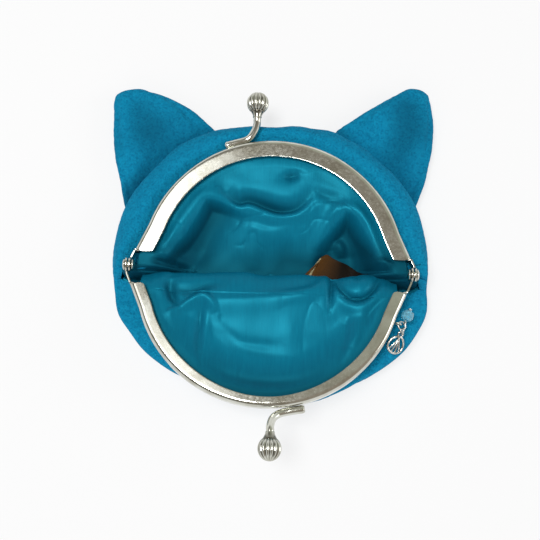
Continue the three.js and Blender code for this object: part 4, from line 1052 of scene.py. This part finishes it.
# Folds of the back lining, given as the flap's
liningFolds = [
    ([[-15.5, 24.6], [-10.8, 21.6], [-7.2, 22.2], [-1.6, 20.4], [2.1, 19.6], [7.0, 20.2],
      [11.0, 23.8]], (2.4, 1.2), -2.9),
    ([[-12.5, 19.6], [-7.2, 19.8], [-1.6, 17.8], [3.0, 17.3], [9.0, 19.0], [13.5, 22.2]],
     (1.6, 2.2), 1.0),
    ([[-12.8, 18.6], [-5.1, 16.7], [-0.2, 15.4], [5.3, 16.4], [9.3, 18.0]], (2.0, 2.4), -0.4),
    ([[-8.0, 14.8], [-0.5, 13.2], [7.0, 14.6]], (1.5, 3.0), 0.7),
    ([[2.8, 29.6], [7.8, 30.8]], (1.2, 1.6), -1.4),
    ([[-36.0, 2.4], [-32.6, 6.9], [-28.2, 12.2], [-24.2, 18.4], [-20.8, 22.8], [-15.2, 22.8],
      [-11.8, 20.6]], (2.2, 1.8), 1.2),
    ([[12.0, 2.0], [13.6, 8.6], [16.8, 15.8], [21.0, 20.6], [26.6, 18.6], [30.8, 11.8],
      [33.4, 5.5]], (1.9, 1.8), 1.2),
    ([[19.8, 12.0], [21.6, 9.4], [22.2, 6.5]], (2.0, 2.0), 2.4),
    ([[-38.0, 2.6], [-32.2, 1.9], [-24.6, 0.9]], (0.9, 1.6), -2.4),
    ([[-37.5, 4.8], [-31.5, 4.2], [-26.0, 3.2]], (1.1, 0.9), 0.8),
    ([[29.0, 4.6], [34.0, 4.0], [39.5, 2.9]], (0.9, 0.9), 1.1),
    ([[28.0, 2.2], [34.0, 1.6], [39.0, 0.9]], (0.9, 1.2), -2.0),
    ([[-5.0, 12.0], [-6.0, 6.0], [-5.5, 1.0]], (2.6, 2.6), 0.5),
    ([[5.0, 12.0], [4.5, 6.0], [5.5, 1.0]], (2.4, 2.4), -0.4),
    ([[12.0, 26.0], [17.0, 24.2], [21.0, 23.8]], (1.8, 1.8), -0.8),
    ([[-22.0, 28.0], [-16.0, 30.0], [-9.0, 33.0]], (1.6, 2.2), -0.5),
    ([[12.0, 31.5], [18.0, 29.0], [24.0, 25.0]], (1.6, 2.0), -0.5),
]


def hollowShare(x, y):
    # 1 in the middle of the hollows and 0 outside them
    total = 0 * x
    for hollow in hollows:
        a, b = hollow["slope"]
        deep = smoothstep(a * x + b * y, hollow["low"], hollow["high"])
        total = np.maximum(total, insideOutline(x, y, hollow["outline"], hollow["edge"]) * deep)
    return total


def backLiningMiddle():
    angle = anglesRound(backLining["angles"])
    out, rim = headReach(angle) - purse["plush"], channelReach(angle)
    edge = rim - purse["channelDepth"] - 2
    low, seam = purse["floorHeight"], purse["seamHeight"] - 1
    mouth = liningInChannel + purse["hingeHeight"]
    rise = mouth - low
    # Rows of reach and height
    pouch = stacked(angle, [
        [1, low], [12, low], [21, low], [26, low], [29, low], [out - 9, low], [out - 6, low + 0.3],
        [out - 3.4, low + 1.4], [out - 2, seam], [out - 1.9, seam + 0.2]])
    side = stacked(angle, [
        [1, low], [12, low + 0.02 * rise], [21, low + 0.12 * rise], [25, low + 0.24 * rise],
        [29, low + 0.38 * rise], [out - 9, low + 0.6 * rise], [out - 6, low + 0.78 * rise],
        [out - 3.4, mouth - 1], [out - 2.4, mouth - 1], [out - 1.9, mouth - 1]])
    back = stacked(angle, [
        [1, low + 0.1], [10, low + 0.1 * rise], [16, low + 0.34 * rise], [21, low + 0.67 * rise],
        [25, low + 0.85 * rise], [edge - 4, low + 0.93 * rise], [edge - 1.6, low + 0.97 * rise],
        [edge, mouth], [edge + 2.3, mouth], [rim - 1.4, mouth]])
    steps = stepsOver((0, 2, 26), (2, 7, 76), (7, 9, 10))
    section = throughPoints(sectionRound(angle, pouch, side, back), steps)
    reach, height = np.moveaxis(section, (2, 1), (0, 1))
    x, y, gap = reach * np.cos(angle), reach * np.sin(angle), rim - reach
    inside = smoothstep(gap, 4.8, 8.0)
    # The floor under the mouth is one slope, whose height depends on y alone
    slope = low + rise * smoothTable(y, backLining["floorY"], backLining["floorRise"])
    height = between(height, slope, smoothstep(gap, 8, 18))
    hollow = hollowShare(x, y)
    creases = foldHeight(x, y, liningFolds)
    small = (ripple(xyz(x * 1.4, y, 0), 11, 17) * backLining["ripple"]
             + crumple(x, y * 1.3, 12, 51) * backLining["crumple"])
    sunk = backLining["hollow"] * hollow * smoothstep(y, -1, 8)
    height = height + (creases - sunk + small) * inside * smoothstep(y, -6, 0)
    lowest, soft = backLining["lowest"]
    height = lowest + softRamp(height - lowest, soft)
    # Painted shade on the satin: in the creases and hollows, and under the lip, where the
    # painted shade is deepest to the right of the middle
    paintedShade = (np.clip(-(creases + small) / 3.2, 0, 0.8) + 0.95 * hollow**1.2) * inside
    shade = 0.7 + 0.1 * smoothstep(x, -12, -4) + 0.35 * smoothstep(x, -2, 8)
    paintedShade = paintedShade + shade * (1 - smoothstep(y, 0, 14))
    return xyz(x, y, height), np.clip(paintedShade, 0, 0.85)


middle, paintedShade = backLiningMiddle()
centre = middle[0, 0, 2]
piece = makePiece("backLining", discPoints(middle, backLining["thickness"]), satin,
                  wrapColumns=True, napAndShade=np.vstack([paintedShade, paintedShade[::-1]]),
                  poles=[[0, 0, centre + backLining["pole"]], [0, 0, centre - backLining["pole"]]])
assign(piece, "back", "satin", "back_lining")
print("back lining made")


# Ears: two panels of plush sewn along the edges and stuffed, the front one dished

ear = {
    "rows": 74, "columns": 150,
    "baseLow": 25, "baseHigh": {"right": 66, "left": 70}, "baseOut": 0.4,
    "tipDeg": 53.2, "tipReach": 76.66, "tipAside": 1.3, "tipLean": 0.12,
    "tipHalf": {"right": 4.9, "left": 5.7}, "tipDrop": {"right": 2.4, "left": 1.5},
    "bow": {"right": 2.8, "left": 1.5}, "innerBow": {"right": 1.0, "left": 2.0},
    "middle": [4.9, 5.0], "swell": 2.9, "edge": 1.1,
    "dish": 2.4, "dishHalf": 0.21,
    "dip": 2.6, "dipLength": 0.2,        # where the ear is sewn to the head
    "seam": 0.55, "seamAt": 0.1, "seamHalf": 0.035,
    "lumps": [12, 11, 0.2],
}


def earPlan(side, name, u, v):
    # The ear's outline from the head's edge (v = 0) to the tip, and across it by u. It's
    # turned with the head, its edges bow outwards and its tip is rounded.
    turn, share = purse["softTurn"] * deg, 2 * u - 1
    angle = between(ear["baseLow"], ear["baseHigh"][name], u) * deg
    at = angle + turn if side > 0 else np.pi - angle + turn
    reach = headReach(at) + ear["baseOut"]
    length = math.hypot(1, ear["tipLean"])
    half = share * ear["tipHalf"][name] / length
    tipX = side * ear["tipReach"] * math.cos(ear["tipDeg"] * deg) + ear["tipAside"] - side * half
    tipY = (ear["tipReach"] * math.sin(ear["tipDeg"] * deg) + ear["tipLean"] * half
            - ear["tipDrop"][name] * np.abs(share) ** 2.4)
    tipX, tipY = (tipX * math.cos(turn) - tipY * math.sin(turn),
                  tipX * math.sin(turn) + tipY * math.cos(turn))
    swing = np.sin(np.pi * np.clip(v, 0, 1))
    outer, inner = ear["bow"][name] * swing * (1 - u) ** 2, ear["innerBow"][name] * swing * u**2
    return (between(reach * np.cos(at), tipX, v) + side * (outer - 0.6 * inner),
            between(reach * np.sin(at), tipY, v) + 0.8 * inner)


def earPoints(side, name):
    # Round the ear from its inner edge over the front and back behind, at each row up it
    around = fullTurn(ear["columns"])[None]
    v = (1 - (1 - np.linspace(0, 1, ear["rows"])) ** 1.35)[:, None] * 1.07 - 0.07
    u = 0.5 - 0.5 * np.cos(around) * (1 - 0.14 * smoothstep(v, 0.9, 1.0))
    x, y = earPlan(side, name, u, v)
    face, held = np.sin(around) + 0 * v, np.clip(v, 0, 1)      # +1 in front, -1 behind
    across = 1 - np.abs(2 * u - 1) ** 3
    along = np.sin(np.pi * (0.12 + 0.86 * (1 - held))) ** 0.7
    closing = np.sqrt(np.clip(1 - held**14, 0.004, 1))
    full = (ear["edge"] * np.abs(face) ** 0.45 + ear["swell"] * across * along) * closing
    # The front is pushed in by a dish, by the dip at the head and along the seams
    dish = ear["dish"] * bell(u - 0.5, ear["dishHalf"]) * np.sin(np.pi * held) ** 0.8
    seam = ear["seam"] * (bell(u - ear["seamAt"], ear["seamHalf"])
                          + bell(u - 1 + ear["seamAt"], ear["seamHalf"]))
    dip = ear["dip"] * bell(v, ear["dipLength"]) * across
    inward = (dish + dip + seam * closing) * np.abs(face) ** 0.4
    height = np.sign(face) * full - np.where(face > 0, inward, 0)
    points = xyz(x, y, between(*ear["middle"], v) + height)
    bumps = pileHeight(points, *ear["lumps"]) * smoothstep(v, -0.02, 0.06)
    bumps = bumps * (1 - smoothstep(v, 0.97, 1))
    points = points + acrossGrid(points, wrap=True) * bumps[..., None]
    # Pile brushed in random patches, and painted shade in the front's dip at the head and in its
    # dish
    hollow = bell(u - 0.5, 0.24) * smoothstep(v, 0, 0.3) * (1 - smoothstep(v, 0.7, 0.95))
    napAndShade = np.where(face > 0, 0.55 * bell(v, 0.16) + 0.5 * hollow, 0)
    return points, np.clip(napAndShade + 0.22 * ripple(points, 16, 19), 0, 0.9)


for side, name in ((1, "right"), (-1, "left")):
    points, napAndShade = earPoints(side, name)
    piece = makePiece(f"{name}Ear", points, plush, wrapColumns=True, napAndShade=napAndShade,
                      poles=[points[0].mean(0), points[-1].mean(0)])
    assign(piece, "back", "plush", *(f"{name}_ear_{part}" for part in
                                     ("front_panel", "back_panel", "wadding")))
print("ears made")


# Label: a blank folded ribbon sewn to the lining inside the mouth

label = {
    "corner": [9.4, -2.0], "length": 20.5, "lean": 4.6, "thickness": 0.45,
    "along": [0, 0.12, 0.25, 0.42, 0.7, 1], "height": [5.6, 8.0, 9.2, 8.0, 6.2, 3.0],
    "clear": 0.9, "puff": 1.4, "curl": 1.9,      # height above the lining's middle
    "surface": [17, 9],      # millimetres of ribbon along and up the label
}


def heightOn(middle, x, y):
    # Height of a round grid at a place, from its nearest points
    flat = middle.reshape(-1, 3)
    near = ((flat[:, None, :2] - np.stack([x.ravel(), y.ravel()], -1)[None]) ** 2).sum(-1)
    weight = 1 / (near + 0.05) ** 2
    return ((weight * flat[:, 2:]).sum(0) / weight.sum(0)).reshape(x.shape)


u, v = np.meshgrid(np.linspace(0, 1, 46), np.linspace(0, 1, 26))
x = label["corner"][0] + label["length"] * u + label["lean"] * v**1.5 * (1 - u) ** 2
y = label["corner"][1] + smoothTable(u, label["along"], label["height"]) * v
lifted = label["clear"] + label["puff"] * np.sin(np.pi * u) ** 2 * v + label["curl"] * (1 - u) ** 5
middleOfLabel = xyz(x, y, heightOn(middle[20:70], x, y) + lifted)
surface = np.stack([np.hstack([u, u[:, ::-1]]), np.hstack([v, v[:, ::-1]])], -1) * label["surface"]
piece = makePiece("liningLabel", sheetPoints(middleOfLabel, label["thickness"]), ribbon,
                  wrapColumns=True, strips=True, uv=surface)
assign(piece, "back", "label", "lining_label")


# Charm on the front rim: lug, ring, bead on its eye pin, link and openwork drop

charm = {
    "lug": [38.3135, -14.6268, 14.4203], "along": [-0.325568, -0.936317, 0.131591],
    "ringCentre": [39.3797, -15.0474, 14.0649], "ringAxis": [0.323386, 0.020513, 0.946045],
    "beadAt": [40.2252, -14.2529, 13.7587], "beadWay": [0.380572, 0.8875, -0.259824],
    "beadHinge": [-0.849598, 0.446508, 0.280737], "dropAt": [39.6134, -16.2232, 14.0106],
    "dropWay": [-0.35708, -0.888368, -0.288611], "dropHinge": [0.913491, -0.267617, -0.306456],
    "dropFace": [0.195008, -0.373073, 0.907077], "linkAt": [39.4706, -16.5786, 13.8951],
}


def ringPoints(radius, wire, centre, axis, segments=48):
    axis = np.array(axis) / np.linalg.norm(axis)
    side = np.cross(axis, [0.3, 0.5, 0.8])
    side /= np.linalg.norm(side)
    other = np.cross(axis, side)
    turn = fullTurn(segments)[:, None]
    path = np.array(centre) + radius * (np.cos(turn) * side + np.sin(turn) * other)
    return tubePoints(path, (wire, wire), 14, closed=True, upright=axis)


# A ring's grid closes both ways, and a rod's is closed by its end points
closed = {"wrapRows": True, "wrapColumns": True}


def rod(points, ends):
    return points, {"wrapColumns": True, "poles": ends}


def placer(origin, side, way, face):
    # Moves points from a piece's own side, way and face directions to the shared frame
    axes = np.array([side, way, face])
    return lambda points: np.array(origin) + np.asarray(points, float) @ axes


for name, size, key, axis, material, body, slot in (
        ("Lug", (0.8, 0.25), "lug", "along", nickel, "front", "nickel"),
        ("Ring", (1.2, 0.22), "ringCentre", "ringAxis", silver, "ring", "silver"),
        ("Link", (1.0, 0.18), "linkAt", "dropHinge", silver, "link", "silver")):
    grid = ringPoints(*size, charm[key], charm[axis])
    piece = makePiece(f"charm{name}", grid, material, **closed)
    assign(piece, body, slot, f"charm_{name.lower()}")


def joined(name, grids):
    # Several closed grids as one silver piece
    parts = [makePiece(name + "Part", grid, silver, **closing) for grid, closing in grids]
    bpy.ops.object.select_all(action="DESELECT")
    for part in parts:
        part.select_set(True)
    bpy.context.view_layer.objects.active = parts[0]
    bpy.ops.object.join()
    parts[0].name = parts[0].data.name = name
    return parts[0]


# The eye pin: its eye, its wire through the bead and its small head
pin = {"eye": 0.6, "wire": 0.16, "start": 0.68, "length": 4.75, "headLow": 4.66, "headHigh": 5.04,
       "head": [[0.2, 4.66], [0.52, 4.66], [0.6, 4.75], [0.6, 4.9], [0.5, 5.0], [0.25, 5.04]]}
way, hinge = np.array(charm["beadWay"]), np.array(charm["beadHinge"])
onPin = placer(charm["beadAt"], hinge, way, np.cross(hinge, way))
shank = xyz(0, np.linspace(pin["start"], pin["length"], 12), 0)
wire = (pin["wire"], pin["wire"])
piece = joined("beadPin", [
    (ringPoints(pin["eye"], pin["wire"], charm["beadAt"], hinge, 36), closed),
    rod(onPin(tubePoints(shank, wire, 12, upright=(1, 0, 0))), onPin(shank[[0, -1]])),
    rod(onPin(turnedPoints(pin["head"], 24)),
        onPin([[0, pin["headLow"], 0], [0, pin["headHigh"], 0]])),
])
assign(piece, "pin", "silver", "bead_pin")

# The bead: rings of facets (radius, place along the pin), the middle ones turned by half a
# facet from one to the next, and a bore
bead = {"facets": 10, "middle": 2.66, "turned": range(2, 7),
        "rings": [[0.42, -1.5], [0.95, -1.6], [1.6, -1.05], [1.88, -0.35], [1.88, 0.35],
                  [1.6, 1.05], [0.95, 1.6], [0.42, 1.5], [0.4, 0.7], [0.4, -0.7]]}
rings = []
for k, (radius, along) in enumerate(bead["rings"]):
    shift = 0.5 * (k % 2) if k in bead["turned"] else 0
    turn = fullTurn(bead["facets"], shift)
    rings.append(xyz(radius * np.cos(turn), along + bead["middle"], radius * np.sin(turn)))
piece = makePiece("charmBead", onPin(np.array(rings)), acrylic, smooth=False, **closed)
softenEdges(piece, 0.06, 12)
assign(piece, "bead", "bead", "charm_bead")

drop = {
    "below": 1.4,            # the drop's eyelet hangs this far under its hinge
    "half": 2.75, "middle": 3.45, "long": 2.65, "loopWire": (0.34, 0.42),
    "ribs": [-0.62, -0.22, 0.22, 0.62], "ribHalf": 2.6, "ribStart": 1.1, "ribLength": 4.75,
    "ribWire": (0.24, 0.3), "puff": 0.35,
    "eyelet": 0.74, "eyeletWire": (0.24, 0.34),
}


def dropGrids():
    # A pear-shaped outline, ribs that fan out from the top, and an eyelet, all of wire
    way, face = np.array(charm["dropWay"]), np.array(charm["dropFace"])
    origin = np.array(charm["dropAt"]) + drop["below"] * way
    onDrop = placer(origin, np.cross(way, face), way, face)
    turn = fullTurn(72)
    outline = xyz(drop["half"] * np.sin(turn) * (0.85 - 0.15 * np.cos(turn)),
                  drop["middle"] - drop["long"] * np.cos(turn),
                  drop["puff"] * np.cos(turn) ** 2 - 0.2)
    grids = [(onDrop(tubePoints(outline, drop["loopWire"], 14, closed=True)), closed)]
    t = np.linspace(0, 1, 16)
    for lean in drop["ribs"]:
        rib = xyz(lean * drop["ribHalf"] * np.sin(t * np.pi / 2) * between(0.35, 1, t),
                  drop["ribStart"] + (drop["ribLength"] - 0.9 * abs(lean)) * t,
                  drop["puff"] * np.sin(np.pi * t))
        grids.append(rod(onDrop(tubePoints(rib, drop["ribWire"], 10)), onDrop(rib[[0, -1]])))
    eyelet = xyz(drop["eyelet"] * np.cos(turn), drop["eyelet"] * np.sin(turn), 0)
    grids.append((onDrop(tubePoints(eyelet, drop["eyeletWire"], 12, closed=True)), closed))
    return grids


piece = joined("openworkCharm", dropGrids())
assign(piece, "charm", "silver", "openwork_charm")
print("charm made")


# Camera: 80 degrees above the front, rolled so that the purse lies turned clockwise

camera = {"elevation": 80.0, "roll": 2.1, "distance": 230.0, "lens": 51.6, "sensor": 36,
          "pixels": 540, "aside": [0.9, 0.25]}           # aside is counted in pixels


def makeCamera():
    elevation, roll = camera["elevation"] * deg, camera["roll"] * deg
    ahead = np.array([0, math.cos(elevation), -math.sin(elevation)])
    above = np.array([0, math.sin(elevation), math.cos(elevation)])
    right = math.cos(roll) * np.array([1, 0, 0]) + math.sin(roll) * above
    up = np.cross(right, ahead)
    pixel = camera["distance"] / (camera["lens"] / camera["sensor"] * camera["pixels"])
    place = (np.array([0, 0, purse["hingeHeight"]]) - camera["distance"] * ahead
             - camera["aside"][0] * pixel * right - camera["aside"][1] * pixel * up)
    data = bpy.data.cameras.new("camera")
    data.lens, data.sensor_width = camera["lens"], camera["sensor"]
    data.clip_start, data.clip_end = 0.01, 10
    world = np.eye(4)
    world[:3, :3], world[:3, 3] = np.stack([right, up, -ahead], 1), place * mm
    made = addObject("camera", data)
    made.matrix_world = Matrix(world.tolist())
    bpy.context.scene.camera = made


makeCamera()

# Studio: a pale floor and walls, a wide softbox overhead at the left, which the metal
# and the satin's flats show, a smaller one near it, which leaves steep folds in shade, and
# a low one at the right, which draws the rim's edge there

studio = {
    "fill": [0.1, 0.8],      # the world's light on the object, from behind and from the front
    "ceiling": ["#807e78", "#a0968a"],   # what gloss sees overhead, at the left and right
    "corner": "#b9bcae",     # and overhead at the right far from the front
    "floor": "#f4f4f4",
    "floorSize": 3000,
    "floorGlow": 0.72,
}
lamps = {
    "overheadSoftbox": {"place": [-0.25, 0.20, 0.72], "size": 0.32, "watts": 0.6},
    "topSoftbox": {"place": [-0.17, 0.0, 0.80], "size": 0.25, "watts": 3.6},
    "rightSoftbox": {"place": [0.62, 0.02, 0.34], "size": 0.30, "watts": 0.8},
}

for name, lamp in lamps.items():
    data = bpy.data.lights.new(name, "AREA")
    data.shape, data.size, data.energy = "SQUARE", lamp["size"], lamp["watts"]
    made = addObject(name, data)
    made.location = lamp["place"]
    aim = Vector((0, 0, 0.01)) - Vector(lamp["place"])
    made.rotation_euler = aim.to_track_quat("-Z", "Y").to_euler()


def seenDirectly(tree):
    # 1 for camera, glossy and transmission rays
    path = addNode(tree, "LightPath")
    both = mathOf(tree, "MAXIMUM", path.outputs["Is Camera Ray"], path.outputs["Is Glossy Ray"])
    return mathOf(tree, "MAXIMUM", both, path.outputs["Is Transmission Ray"])


def makeStage():
    bpy.context.scene.world = bpy.data.worlds.new("studio")
    tree = emptyTree(bpy.context.scene.world)
    # Pale walls up to 25 degrees, and a greyer ceiling that is darker to the left
    way = addNode(tree, "SeparateXYZ", {0: placeIn(tree, "Generated")})
    aside = ranged(tree, way.outputs[0], -0.3, 0.3)
    ceiling = mixColours(tree, aside, *studio["ceiling"])
    corner = ranged(tree, mathOf(tree, "MULTIPLY", aside, way.outputs[1]), 0.16, 0.3)
    ceiling = mixColours(tree, corner, ceiling, studio["corner"])
    room = mixColours(tree, ranged(tree, way.outputs[2], 0.3, 0.6), (1, 1, 1, 1), ceiling)
    behind, front = ((level, level, level, 1) for level in studio["fill"])
    fill = mixColours(tree, ranged(tree, way.outputs[1], 0.2, -0.8), behind, front)
    bright = mixColours(tree, seenDirectly(tree), fill, room)
    shown = addNode(tree, "Background", {"Color": bright})
    addNode(tree, "OutputWorld", {"Surface": shown.outputs[0]})

    material = bpy.data.materials.new("paperSweepMatt")
    tree = emptyTree(material)
    matt = addNode(tree, "BsdfDiffuse", {"Color": linear(studio["floor"])})
    glow = addNode(tree, "Emission", {"Color": (1, 1, 1, 1), "Strength": 1.0})
    share = mathOf(tree, "MULTIPLY", seenDirectly(tree), studio["floorGlow"])
    mixed = addNode(tree, "MixShader", {0: share, 1: matt.outputs[0], 2: glow.outputs[0]})
    addNode(tree, "OutputMaterial", {"Surface": mixed.outputs[0]})
    size = studio["floorSize"]
    ground = np.array([[[-size, -size, 0], [size, -size, 0]], [[-size, size, 0], [size, size, 0]]])
    makePiece("floor", ground, material)


makeStage()
bpy.context.scene.view_settings.view_transform = "Standard"
